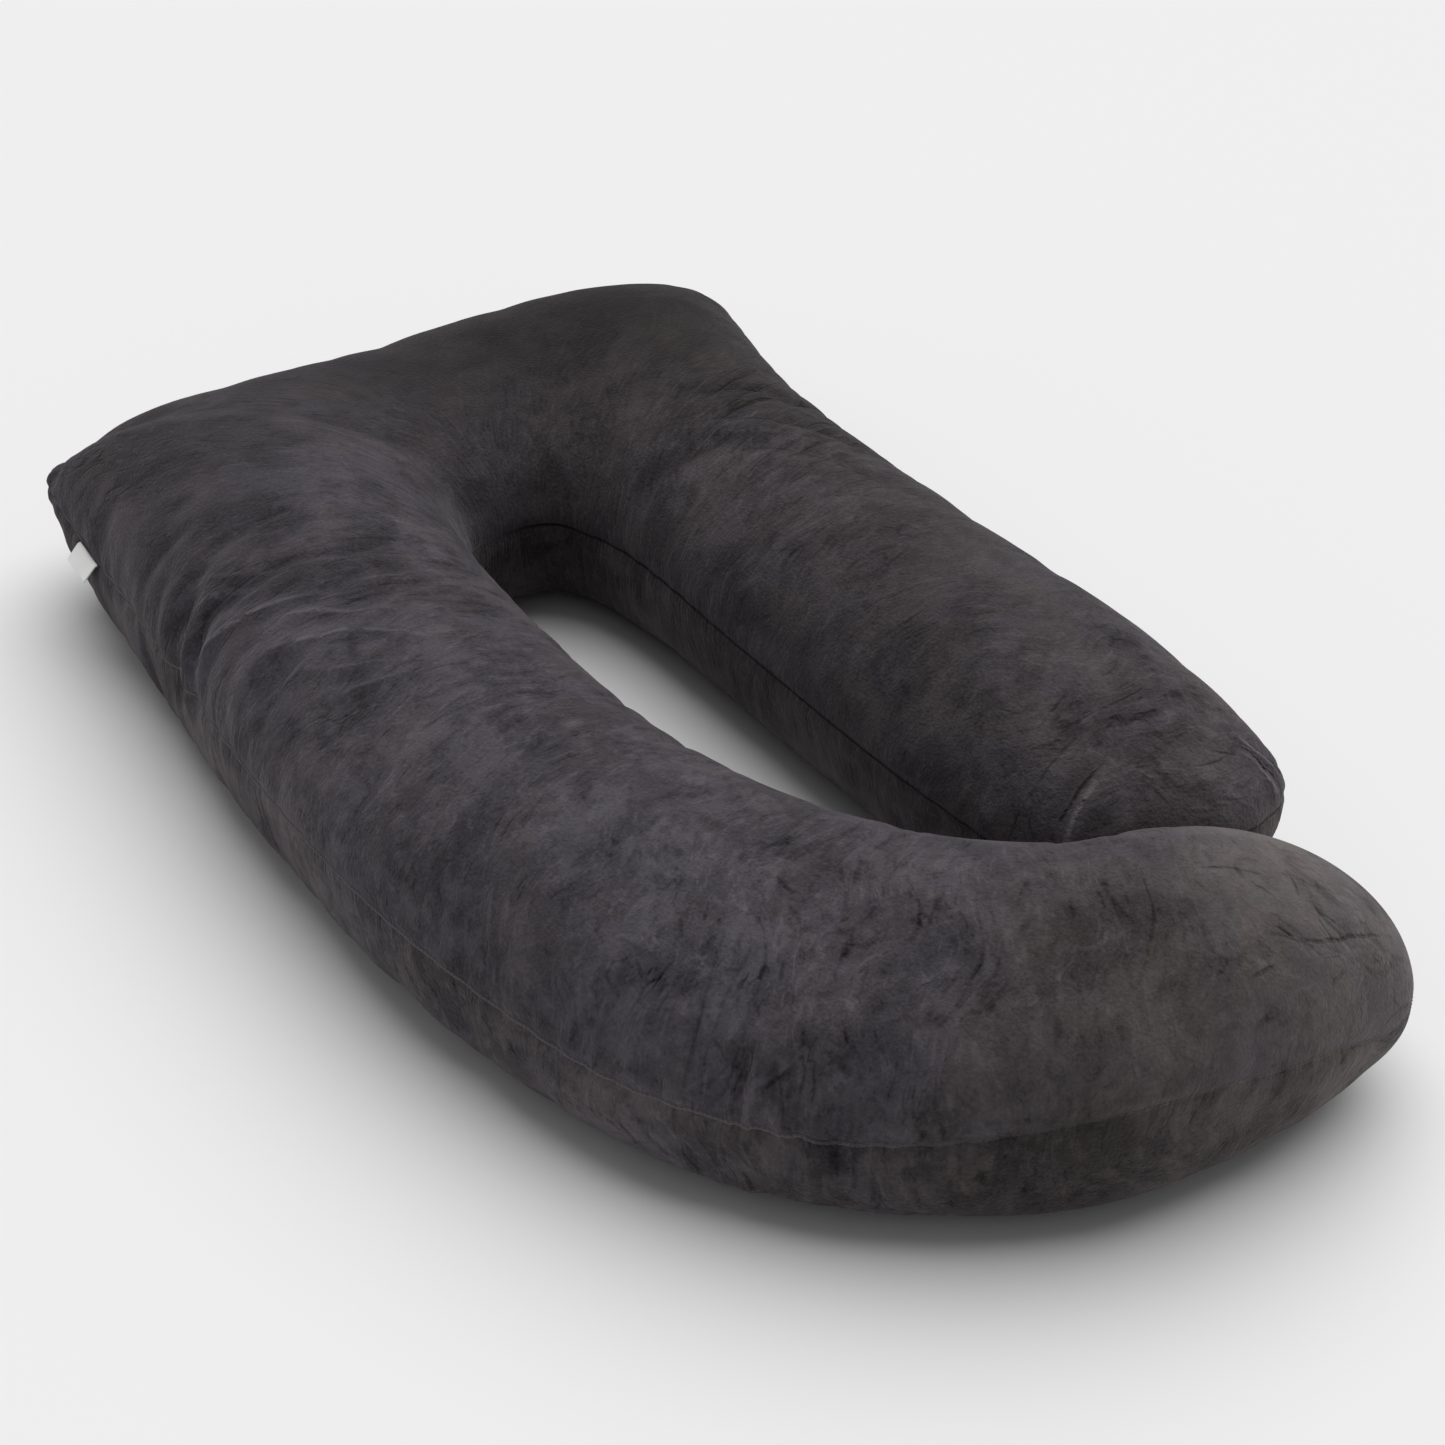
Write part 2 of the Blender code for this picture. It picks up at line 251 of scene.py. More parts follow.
# %% Solve the film over the plan
def film_height(plan):
    """Height of the swollen film at each point of the lattice, zero on its rim."""
    rows, columns = plan.shape[:2]
    number = np.arange(rows * columns).reshape(rows, columns)
    quad = (number[:-1, :-1], number[1:, :-1], number[1:, 1:], number[:-1, 1:])
    halves = [np.stack([quad[corner] for corner in half], axis=-1) for half in ((0, 1, 2), (0, 2, 3))]
    triangles = np.concatenate(halves).reshape(-1, 3)
    corner = plan.reshape(-1, 2)[triangles]
    side = corner[:, (2, 0, 1)] - corner[:, (1, 2, 0)]
    area = abs(side[:, 0, 0] * side[:, 1, 1] - side[:, 0, 1] * side[:, 1, 0]) / 2
    stiffness = np.zeros((rows * columns, rows * columns))
    pull = np.zeros(rows * columns)
    for a in range(3):
        np.add.at(pull, triangles[:, a], area / 3)
        for b in range(3):
            share = (side[:, a] * side[:, b]).sum(axis=1) / (4 * area)
            np.add.at(stiffness, (triangles[:, a], triangles[:, b]), share)
    free = number[1:-1, 1:-1].ravel()
    sag = np.zeros(rows * columns)
    sag[free] = np.linalg.solve(stiffness[np.ix_(free, free)], pull[free])
    return np.sqrt(2 * sag).reshape(rows, columns)


swollen = film_height(plan) * column([s.fill for s in SECTIONS])[:, None]
print("the film rises", round(float(swollen.max()), 3), "m above its seam")

# %% [markdown]
# ## Two panels, one closed cover
#
# The top panel stands up from the seam. The underside hangs below it by the same swelling, but wherever it
# would reach the floor it lies flat, so the pillow has a broad, flat base. A few broad mounds and hollows
# keep the stuffing from looking blown up: real fibre fill shifts with use. The seam itself rides a little
# lower round the bend and higher at the foot, where the cover is twisted into its hook.

# %% Raise the two panels and join them at the seam
REST_DEPTH = 0.115           # the underside lies flat wherever the stuffing swells lower than this

# A hollow is a swell of negative height, and so is a stretch where the seam rides low.
Swell = namedtuple("Swell", "place x y height radius")
SWELLS = (
    Swell("hollow in head end",   -0.070,  0.540, -0.030, 0.140),
    Swell("mound by head corner",  0.230,  0.570,  0.008, 0.110),
    Swell("slack straight neck",   0.180,  0.300, -0.008, 0.120),
    Swell("plump straight low",    0.220, -0.180,  0.006, 0.120),
    Swell("plump hooked mid",     -0.280, -0.020,  0.006, 0.140),
    Swell("slack bend",           -0.160, -0.420, -0.006, 0.110),
    Swell("plump hook",            0.150, -0.560,  0.006, 0.110),
)
SEAM_RIDES = (
    Swell("seam low at bend",     -0.340, -0.443, -0.0135, 0.160),
    Swell("seam low past bend",   -0.235, -0.580, -0.0090, 0.080),
    Swell("seam high at foot",    -0.050, -0.690,  0.0155, 0.080),
    Swell("seam low on hook",      0.115, -0.703, -0.0100, 0.050),
)


def swelling(table, spots):
    """The sum of a table's mounds and hollows at each spot of the plan."""
    return sum(swell.height * np.exp(
        -(np.linalg.norm(spots - (np.array((swell.x, swell.y)) + CENTRE), axis=-1) / swell.radius) ** 2)
        for swell in table)


seam_height = column([s.seam for s in SECTIONS])[:, None]
share = swollen / np.maximum(swollen.max(axis=1, keepdims=True), 1e-6)
ride = swelling(SEAM_RIDES, outer_seam)[:, None] * (1 - share)
crowned = seam_height + ride + swollen * (1 + swelling(SWELLS, plan) / swollen.max())
lying = (seam_height + ride) * (1 - np.sin(np.clip(swollen / REST_DEPTH, 0.0, 1.0) * pi / 2))

run_along = run_of((outer_seam + inner_seam) / 2)
run_across = np.linalg.norm(half_width, axis=1)[:, None] * np.linspace(0.0, pi, FACES_ACROSS + 1)
cover = bmesh.new()
cloth_map = cover.loops.layers.uv.new("cloth")
panel = cover.faces.layers.int.new("panel")
for height, side_of_seam in ((crowned, 1), (lying, -1)):
    grid = [[cover.verts.new((*spot, z)) for spot, z in zip(line, level)]
            for line, level in zip(plan, height)]
    for i in range(len(grid) - 1):
        for j in range(FACES_ACROSS):
            ring = [(i, j), (i + 1, j), (i + 1, j + 1), (i, j + 1)][::side_of_seam]
            face = cover.faces.new([grid[a][b] for a, b in ring])
            face[panel] = side_of_seam
            for loop, (a, b) in zip(face.loops, ring):
                loop[cloth_map].uv = (run_along[a], side_of_seam * run_across[a, b])
rim = [vertex for vertex in cover.verts if vertex.is_boundary]
bmesh.ops.remove_doubles(cover, verts=rim, dist=1e-5)
crease = cover.edges.layers.float.new("crease_edge")
for edge in cover.edges:
    edge[crease] = float(edge.link_faces[0][panel] != edge.link_faces[1][panel])
print("closed cover:", all(edge.is_manifold for edge in cover.edges), len(cover.faces), "faces, volume",
      round(cover.calc_volume(signed=True), 4))

# %% [markdown]
# ## Stuffing the cover by simulation
#
# Wrinkles are hard to draw and easy to grow. The cloth is told that it is cut a few per cent too large and
# that air presses it from within, while the seam is held: a few moments of simulation then buckle the
# spare cloth into the folds that a real cover has, across the inside of each bend and away from the seam.
# The simulation also swells the whole form, which would spoil the outline, so the movement is split in two.
# Its broad part is almost all given back, and its fine part, the wrinkles, is kept.

# %% Define helpers for meshes
def points_of(mesh):
    """The mesh's vertices as an array of places."""
    places = np.empty(len(mesh.vertices) * 3)
    mesh.vertices.foreach_get("co", places)
    return places.reshape(-1, 3)


def move_points(mesh, places):
    mesh.vertices.foreach_set("co", places.ravel())
    mesh.update()


def normals_of(mesh):
    normals = np.empty(len(mesh.vertices) * 3)
    mesh.vertex_normals.foreach_get("vector", normals)
    return normals.reshape(-1, 3)


def shown_mesh(piece):
    """A plain mesh of the piece as its modifiers leave it."""
    bpy.context.view_layer.update()
    return bpy.data.meshes.new_from_object(piece.evaluated_get(bpy.context.evaluated_depsgraph_get()))


def refine(piece):
    """Splits every face in four and smooths the form, once."""
    finer = piece.modifiers.new("finer", "SUBSURF")
    finer.levels = finer.render_levels = 1
    piece.data = shown_mesh(piece)
    piece.modifiers.remove(finer)


def seam_points(mesh):
    """True for each vertex that both panels share, which is where the seam runs. Every face is a quad."""
    corners = np.empty(len(mesh.loops), dtype=np.int32)
    panels = np.empty(len(mesh.polygons), dtype=np.int32)
    mesh.loops.foreach_get("vertex_index", corners)
    mesh.attributes["panel"].data.foreach_get("value", panels)
    touched = [np.zeros(len(mesh.vertices), dtype=bool) for _ in range(2)]
    for seen, side_of_seam in zip(touched, (1, -1)):
        seen[corners.reshape(-1, 4)[panels == side_of_seam].ravel()] = True
    return touched[0] & touched[1]


def smoothed(values, edges, rounds):
    """Each vertex's value averaged with its neighbours' a number of times."""
    count = np.zeros(len(values))
    np.add.at(count, edges.ravel(), 1)
    for _ in range(rounds):
        total = np.zeros_like(values)
        for a, b in ((0, 1), (1, 0)):
            for axis in range(3):
                total[:, axis] += np.bincount(edges[:, a], values[edges[:, b], axis], minlength=len(values))
        values = 0.5 * values + 0.5 * total / count[:, None]
    return values


# %% Press the cloth out from within
SPARE_CLOTH = 0.07           # the cloth is cut this much too large
PRESSURE = 8.0
MOMENTS = 20                 # frames of simulation
KEPT_SWELL = 0.10            # share of the broad swelling that is kept
BROAD = 30                   # rounds of averaging that part broad from fine
DEEPEST_WRINKLE = 0.012
# The share of the fine wrinkles that is kept, one number a section.
WRINKLES = (0.3, 0.3, 0.3, 0.5, 0.4, 0.3, 0.4, 0.5, 0.8, 0.5, 0.5, 0.7, 0.4, 0.3, 0.1)
FLOOR_FADE = 0.030           # wrinkles die out below this height, so that the base stays flat
ON_FLOOR = 0.003             # and the cloth is held below this one

cover_mesh = bpy.data.meshes.new("pillow")
cover.to_mesh(cover_mesh)
cover.free()
pillow = made_object("velour_pillow", cover_mesh)
refine(pillow)
before = points_of(pillow.data)
fixed = pillow.vertex_groups.new(name="held")
held = seam_points(pillow.data) | (before[:, 2] < ON_FLOOR)
fixed.add([int(index) for index in np.flatnonzero(held)], 1.0, "REPLACE")
cloth = pillow.modifiers.new("stuffing", "CLOTH")
for name, value in {
        "quality": 5, "mass": 0.3, "tension_stiffness": 30, "compression_stiffness": 30,
        "shear_stiffness": 15, "bending_stiffness": 0.2, "air_damping": 2, "use_pressure": True,
        "uniform_pressure_force": PRESSURE, "shrink_min": -SPARE_CLOTH,
        "vertex_group_mass": "held"}.items():
    setattr(cloth.settings, name, value)
cloth.settings.effector_weights.gravity = 0
cloth.collision_settings.use_collision = False
cloth.point_cache.frame_start, cloth.point_cache.frame_end = 1, MOMENTS
for moment in range(1, MOMENTS + 1):
    bpy.context.scene.frame_set(moment)
moved = points_of(shown_mesh(pillow)) - before
pillow.modifiers.remove(cloth)
pillow.vertex_groups.clear()
bpy.context.scene.frame_set(1)

edges = np.array([edge.vertices[:] for edge in pillow.data.edges])
broad = smoothed(moved, edges, BROAD)
fine = moved - broad
size = np.linalg.norm(fine, axis=1, keepdims=True)
fine *= DEEPEST_WRINKLE * np.tanh(size / DEEPEST_WRINKLE) / np.maximum(size, 1e-9)
fade = np.clip(before[:, 2:] / FLOOR_FADE, 0.0, 1.0)
row_spots = (outer_seam + inner_seam) / 2
nearest_row = np.linalg.norm(before[:, None, :2] - row_spots, axis=2).argmin(axis=1)
wrinkles = column(WRINKLES)[nearest_row][:, None] * fine
move_points(pillow.data, before + fade * (KEPT_SWELL * broad + wrinkles))
risen = np.linalg.norm(wrinkles, axis=1) * 1000
print("wrinkles up to", round(float(risen.max()), 1), "mm, typically",
      round(float(np.median(risen)), 1), "mm")
refine(pillow)
print("the pillow has", len(pillow.data.vertices), "vertices")

# %% [markdown]
# ## The creases that this pillow has
#
# The simulation knows nothing of this one pillow's history. Its own creases are pressed in afterwards: the
# tuck beside the label, the folds at the straight arm's end, the wrinkles at its waist and the pleats where
# the long arm bends. Each is a valley between two soft shoulders along a bent line.

# %% List the creases
# A fold runs from one spot to another and bends towards a third on the way. A negative depth makes it a
# ridge, and its tone is painted light along it: a painted highlight where positive, painted shade where
# negative.
Fold = namedtuple("Fold", "place from_x from_y by_x by_y to_x to_y depth width tone")
FOLDS = (
    Fold("knot, above",           -0.452,  0.250, -0.425,  0.262, -0.390,  0.292,  0.0075, 0.013, -0.5),
    Fold("knot, below",           -0.448,  0.208, -0.430,  0.216, -0.405,  0.240,  0.0045, 0.009, -0.4),
    Fold("knot, bright lip",      -0.446,  0.228, -0.430,  0.240, -0.412,  0.266, -0.0025, 0.006,  1.4),
    Fold("neck arc, outermost",   -0.425,  0.275, -0.413,  0.260, -0.366,  0.210, -0.0020, 0.006,  0.9),
    Fold("neck arc, second",      -0.405,  0.300, -0.380,  0.238, -0.345,  0.215, -0.0010, 0.006,  0.6),
    Fold("neck arc, longest",     -0.436,  0.218, -0.399,  0.195, -0.330,  0.152, -0.0025, 0.007,  1.2),
    Fold("neck arc, fourth",      -0.372,  0.160, -0.336,  0.126, -0.295,  0.092, -0.0020, 0.006,  0.9),
    Fold("neck arc, fifth",       -0.400,  0.132, -0.355,  0.116, -0.270,  0.016, -0.0025, 0.007,  1.0),
    Fold("neck arc, sixth",       -0.378,  0.080, -0.360,  0.040, -0.322,  0.020, -0.0010, 0.006,  0.6),
    Fold("neck arc, last",        -0.382,  0.027, -0.364,  0.010, -0.312, -0.010, -0.0020, 0.006,  0.7),
    Fold("end crease, deep",       0.085, -0.384,  0.135, -0.364,  0.170, -0.360,  0.0060, 0.008, -1.3),
    Fold("end crease, lip",        0.100, -0.392,  0.133, -0.374,  0.156, -0.368, -0.0020, 0.006,  2.0),
    Fold("end crease, inner",      0.080, -0.346,  0.125, -0.336,  0.165, -0.328,  0.0025, 0.008, -0.7),
    Fold("end crease, upper",      0.138, -0.304,  0.160, -0.294,  0.182, -0.286,  0.0015, 0.007, -0.6),
    Fold("end dash",               0.262, -0.381,  0.275, -0.388,  0.292, -0.389,  0.0008, 0.005, -0.7),
    Fold("end pleat, pale",        0.298, -0.386,  0.309, -0.399,  0.322, -0.412, -0.0015, 0.005,  2.0),
    Fold("end pleat, dark",        0.302, -0.382,  0.315, -0.395,  0.330, -0.404,  0.0025, 0.006, -1.5),
    Fold("outer pleat, pale",      0.300, -0.372,  0.314, -0.386,  0.336, -0.397, -0.0015, 0.005,  1.7),
    Fold("outer pleat, dark",      0.310, -0.372,  0.325, -0.384,  0.344, -0.390,  0.0025, 0.006, -1.4),
    Fold("waist wrinkle, first",   0.145,  0.306,  0.225,  0.305,  0.280,  0.236,  0.0020, 0.008, -0.4),
    Fold("waist wrinkle, second",  0.120,  0.268,  0.207,  0.244,  0.250,  0.160,  0.0025, 0.008, -0.4),
    Fold("waist wrinkle, third",   0.112,  0.212,  0.194,  0.180,  0.218,  0.088,  0.0020, 0.008, -0.4),
    Fold("waist ridge, first",     0.150,  0.285,  0.215,  0.275,  0.262,  0.205, -0.0010, 0.006,  0.4),
    Fold("waist ridge, second",    0.125,  0.240,  0.200,  0.212,  0.232,  0.125, -0.0010, 0.006,  0.4),
    Fold("waist wrinkle, last",    0.140,  0.088,  0.196,  0.078,  0.224,  0.028,  0.0012, 0.007, -0.3),
    Fold("label corner",          -0.400,  0.655, -0.350,  0.615, -0.290,  0.585,  0.0050, 0.018,  0.0),
    Fold("label corner, ridge",   -0.418,  0.600, -0.402,  0.625, -0.380,  0.640, -0.0015, 0.006,  0.8),
    Fold("bend stroke, first",    -0.245, -0.430, -0.300, -0.480, -0.316, -0.484,  0.0020, 0.007, -0.8),
    Fold("bend stroke, second",   -0.235, -0.458, -0.278, -0.477, -0.307, -0.493,  0.0020, 0.007, -0.7),
    Fold("bend stroke, upper",    -0.285, -0.428, -0.320, -0.422, -0.340, -0.423,  0.0015, 0.006, -0.6),
    Fold("bend stroke, fourth",   -0.222, -0.541, -0.260, -0.546, -0.278, -0.525,  0.0025, 0.007, -0.8),
    Fold("bend stroke, short",    -0.264, -0.508, -0.282, -0.518, -0.292, -0.512,  0.0025, 0.007, -0.8),
    Fold("foot pleat, first",     -0.299, -0.502, -0.288, -0.512, -0.274, -0.503,  0.0036, 0.006, -0.8),
    Fold("foot pleat, second",    -0.292, -0.512, -0.283, -0.521, -0.270, -0.514,  0.0036, 0.006, -0.8),
    Fold("foot pleat, lip",       -0.285, -0.520, -0.276, -0.527, -0.266, -0.534, -0.0025, 0.005,  1.1),
    Fold("foot pleat, third",     -0.281, -0.525, -0.270, -0.534, -0.254, -0.540,  0.0040, 0.007, -0.9),
    Fold("foot pleat, tall",      -0.258, -0.553, -0.247, -0.559, -0.236, -0.528,  0.0036, 0.007, -0.9),
    Fold("foot pleat, last",      -0.247, -0.561, -0.242, -0.562, -0.236, -0.548,  0.0030, 0.006, -0.8),
    Fold("hook nick, first",       0.096, -0.580,  0.122, -0.585,  0.148, -0.599,  0.0010, 0.005, -1.3),
    Fold("hook nick, second",      0.131, -0.604,  0.138, -0.611,  0.143, -0.621,  0.0008, 0.005, -1.0),
    Fold("hook nick, third",       0.127, -0.641,  0.134, -0.648,  0.142, -0.655,  0.0008, 0.005, -1.2),
    Fold("hook crease, long",      0.145, -0.656,  0.182, -0.659,  0.250, -0.638,  0.0014, 0.005, -1.3),
    Fold("hook nick, fourth",      0.082, -0.672,  0.098, -0.670,  0.114, -0.666,  0.0008, 0.005, -1.2),
    Fold("hook nick, fifth",       0.076, -0.692,  0.090, -0.691,  0.103, -0.688,  0.0008, 0.005, -1.1),
    Fold("hook nick, left",        0.055, -0.665,  0.066, -0.661,  0.076, -0.657,  0.0006, 0.005, -0.9),
    Fold("hook nick, right",       0.158, -0.680,  0.170, -0.675,  0.182, -0.671,  0.0006, 0.005, -1.0),
    Fold("hook nick, tip",         0.178, -0.592,  0.176, -0.610,  0.165, -0.624,  0.0008, 0.005, -1.2),
)
SHOULDER = 0.35              # height of a fold's shoulders, as a share of its depth
SHOULDER_AT = 2.2            # how far they stand from its line, in fold widths
SHOULDER_WIDTH = 1.2         # and how wide they are
FOLD_REACH = 0.16            # no point farther than this from a fold's middle is touched
CREASED_ABOVE = 0.085        # the folds die out below this height
CREASES_FADE = 0.03
FOLD_STEP = 0.003            # distance between two points along a fold
FEWEST_STEPS = 5
LINE_FADE = 0.007            # a fold's sharp line is drawn only this close to it
NO_LINE = 1.0                # the distance noted where no line is near
print(len(FOLDS), "creases")

# %% Press them in, and note how far each point lies from the nearest one
places, normals = points_of(pillow.data), normals_of(pillow.data)
pressed = np.zeros(len(places))
upper = np.clip((places[:, 2] - CREASED_ABOVE) / CREASES_FADE, 0.0, 1.0)
line_offset = np.full((2, len(places)), NO_LINE)   # two sets, so that neighbours in the table never share one
# A crease's tone is painted shade along a valley and a painted highlight along a ridge or lip.
crease_shade_and_highlight = np.zeros((2, len(places)))
for index, fold in enumerate(FOLDS):
    start, by, end = np.array(fold[1:7]).reshape(3, 2) + CENTRE
    count = max(int(np.linalg.norm(end - start) / FOLD_STEP), FEWEST_STEPS)
    share = np.linspace(0.0, 1.0, count)[:, None]
    line = (1 - share) ** 2 * start + 2 * (1 - share) * share * by + share ** 2 * end
    side = np.gradient(line, axis=0)[:, ::-1] * (-1, 1)
    side /= np.linalg.norm(side, axis=1)[:, None]
    near = np.flatnonzero(np.linalg.norm(places[:, :2] - line[count // 2], axis=1) < FOLD_REACH)
    gap = places[near, None, :2] - line
    closest = np.linalg.norm(gap, axis=2).argmin(axis=1)
    gap = gap[np.arange(len(near)), closest]
    away = np.linalg.norm(gap, axis=1)
    strength = np.sqrt(np.sin(pi * share[closest, 0])) * upper[near]
    widths = away / fold.width
    valley = np.exp(-widths ** 2) - SHOULDER * np.exp(-((widths - SHOULDER_AT) / SHOULDER_WIDTH) ** 2)
    pressed[near] += fold.depth * strength * valley
    offsets, tones = line_offset[index % 2], crease_shade_and_highlight[index % 2]
    nearer = away < abs(offsets[near])
    beside = (gap * side[closest]).sum(axis=1)
    offsets[near[nearer]] = np.copysign(away, beside)[nearer]
    tones[near[nearer]] = (fold.tone * strength * np.exp(-(away / LINE_FADE) ** 2))[nearer]
print("deepest crease", round(float(pressed.max() * 1000), 1), "mm")

# %% [markdown]
# ## Drawing in the seam
#
# The thread holds the cloth tighter than the stuffing can push it, so the seam lies in a narrow groove and
# gathers run away from it. They are strongest round the bend, where the outer seam takes a tight turn, and
# faint along the straight arm.

# %% List how the seam is drawn in at each section
SEAM_TUCK = 0.0035           # the stitched seam is drawn in by this much
TUCK_REACH = 0.0055
PUCKER_PITCH = 0.036
PUCKER_DEPTH = 0.0026
PUCKER_REACH = 0.040
PUCKER_STRAY = 1.4           # the puckers crowd and part again by this much, in radians
STRAY_OVER = 7.3             # over this many puckers
RIM_STEP = 0.004             # distance between two points along the seam's line
SEAM_LEVEL = 0.125           # the height that the line is taken to run at

# The strength of the puckers and of the tuck at each section, and the tones of the seam line and of the lower
# panel, which are painted light: along the seam, a pale line where the pile parts on the seam's ridge, with
# painted sheen, and painted shade in its groove; on the lower panel, painted shade below the seam, where its
# pile also runs another way. A negative tone is a darker one.
Rim = namedtuple("Rim", "place pucker tuck line lower")
RIM = (
    Rim("straight end",        0.50, 0.4, -0.40, -0.15),
    Rim("straight low",        0.15, 0.8, -0.60, -0.10),
    Rim("straight mid",        0.15, 0.9, -0.60, -0.10),
    Rim("straight neck",       0.50, 1.0, -0.60, -0.10),
    Rim("head corner, side",   0.40, 1.0, -0.60, -0.10),
    Rim("head corner, end",    0.40, 1.0, -0.60, -0.10),
    Rim("label corner, end",   0.50, 1.0,  0.30, -0.05),
    Rim("label corner, side",  0.60, 1.0,  0.90,  0.00),
    Rim("hooked neck",         0.70, 0.9,  1.20,  0.00),
    Rim("hooked mid",          0.30, 0.7,  1.20,  0.00),
    Rim("hooked low",          0.40, 0.7,  1.20,  0.04),
    Rim("bend",                1.00, 0.9,  1.00, -0.02),
    Rim("foot",                0.60, 0.5,  0.20, -0.22),
    Rim("hook",                0.20, 0.4,  0.35, -0.16),
    Rim("hook tip",            0.10, 0.3,  0.30, -0.20),
)
print("puckers along", len(RIM), "sections")


# %% Tuck the seam and gather the cloth along it
def spread_over(columns, run, spots):
    """A line's columns, read off at spots along its run."""
    return np.stack([np.interp(spots, run, values) for values in columns.T], axis=1)


marks = seam_points(pillow.data)
seam_tree = KDTree(int(marks.sum()))
for index in np.flatnonzero(marks):
    seam_tree.insert(places[index], int(index))
seam_tree.balance()
from_seam = np.array([seam_tree.find(place)[2] for place in places])

rim_rows = np.stack([column(values) for values in zip(*[row[1:] for row in RIM])], axis=1)
end_rows = np.repeat(rim_rows[:1], FACES_ACROSS + 1, axis=0)
at_seam = np.zeros((len(places), rim_rows.shape[1]))
nearest_seam = np.full(len(places), np.inf)
for rim_line, strengths in ((outer_seam, rim_rows), (inner_seam, rim_rows), (plan[0], end_rows)):
    spots = np.arange(0.0, run_of(rim_line)[-1], RIM_STEP)
    line = spread_over(rim_line, run_of(rim_line), spots)
    strengths = spread_over(strengths, run_of(rim_line), spots)
    turn = 2 * pi * spots / PUCKER_PITCH
    wave = (0.5 + 0.5 * np.cos(turn + PUCKER_STRAY * np.sin(turn / STRAY_OVER))) * strengths[:, 0]
    tree = KDTree(len(spots))
    for index, spot in enumerate(line):
        tree.insert((*spot, SEAM_LEVEL), index)
    tree.balance()
    found = [tree.find(place) for place in places]
    hit, away = np.array([spot[1] for spot in found]), np.array([spot[2] for spot in found])
    pressed += PUCKER_DEPTH * wave[hit] * np.exp(-(away / PUCKER_REACH) ** 2)
    nearer = away < nearest_seam
    at_seam[nearer] = strengths[hit[nearer]]
    nearest_seam[nearer] = away[nearer]
pressed += SEAM_TUCK * at_seam[:, 1] * np.exp(-(from_seam / TUCK_REACH) ** 2)

fade = np.clip(places[:, 2] / FLOOR_FADE, 0.0, 1.0)
drawn_in = places - normals * (pressed * fade)[:, None]
drawn_in[:, 2] = np.maximum(drawn_in[:, 2], 0.0)
move_points(pillow.data, drawn_in)
print("points on the seam:", int(marks.sum()))

# %% [markdown]
# ## What the finish needs to know
#
# Some of the finish depends on where a point is: how far from the seam or a crease, and the painted shade or
# painted highlight along them, how slack the cloth lies, how crushed, uneven or brushed the pile is, which
# way it leans, which is painted shade and painted sheen, the lower panel's painted shade, and how warm its
# grey looks. Each of these is a table of soft round touches, stored on the mesh as an attribute that the
# material reads. A distance varies evenly between two vertices, so a line drawn from it is far finer than the
# mesh.

# %% List the touches
Touch = namedtuple("Touch", "place x y radius amount")
SLACK = (
    Touch("straight waist",         0.225,  0.230, 0.130,  1.00),
    Touch("straight end",           0.250, -0.390, 0.070,  0.70),
    Touch("hooked neck",           -0.370,  0.200, 0.135,  0.45),
    Touch("bend",                  -0.290, -0.480, 0.090,  0.60),
    Touch("head corner",            0.300,  0.620, 0.080,  0.40),
)
CRUSHED = (
    Touch("bend",                  -0.250, -0.450, 0.170,  0.75),
    Touch("foot",                  -0.080, -0.560, 0.150,  0.35),
    Touch("hook",                   0.130, -0.590, 0.120,  0.50),
    Touch("hook tip",               0.250, -0.600, 0.100,  0.90),
    Touch("hooked mid",            -0.330,  0.000, 0.170,  0.50),
    Touch("straight end",           0.230, -0.320, 0.120,  0.60),
    Touch("straight mid",           0.190,  0.050, 0.150,  0.40),
    Touch("label corner",          -0.320,  0.560, 0.120,  0.50),
)
UNEVEN = (
    Touch("label corner",          -0.350,  0.500, 0.180,  0.90),
    Touch("hooked neck",           -0.380,  0.150, 0.160,  1.00),
    Touch("hooked mid",            -0.280,  0.000, 0.150,  0.30),
    Touch("bend",                  -0.240, -0.430, 0.150, -0.20),
    Touch("foot",                  -0.170, -0.570, 0.130, -0.50),
    Touch("hook",                   0.000, -0.640, 0.130,  0.30),
    Touch("straight arm",           0.230,  0.050, 0.200, -0.25),
)
STROKED = (
    Touch("label corner",          -0.330,  0.570, 0.150, -0.45),
    Touch("label side",            -0.370,  0.380, 0.130, -0.45),
    Touch("head middle",           -0.100,  0.560, 0.180, -0.40),
    Touch("head end",               0.190,  0.560, 0.200, -0.30),
    Touch("hooked neck",           -0.370,  0.140, 0.130, -0.45),
    Touch("hooked low",            -0.370, -0.160, 0.130,  0.20),
    Touch("bend",                  -0.320, -0.430, 0.120,  0.20),
    Touch("straight arm",           0.220, -0.050, 0.260, -0.45),
    Touch("hook",                   0.020, -0.630, 0.150, -0.25),
)
WARMTH = (
    Touch("straight arm",           0.230, -0.050, 0.300,  0.40),
    Touch("straight end",           0.200, -0.380, 0.140,  0.35),
    Touch("head end",               0.230,  0.500, 0.250,  0.75),
    Touch("hook",                  -0.010, -0.640, 0.130,  0.70),
    Touch("hook tip",               0.200, -0.620, 0.130,  0.80),
)
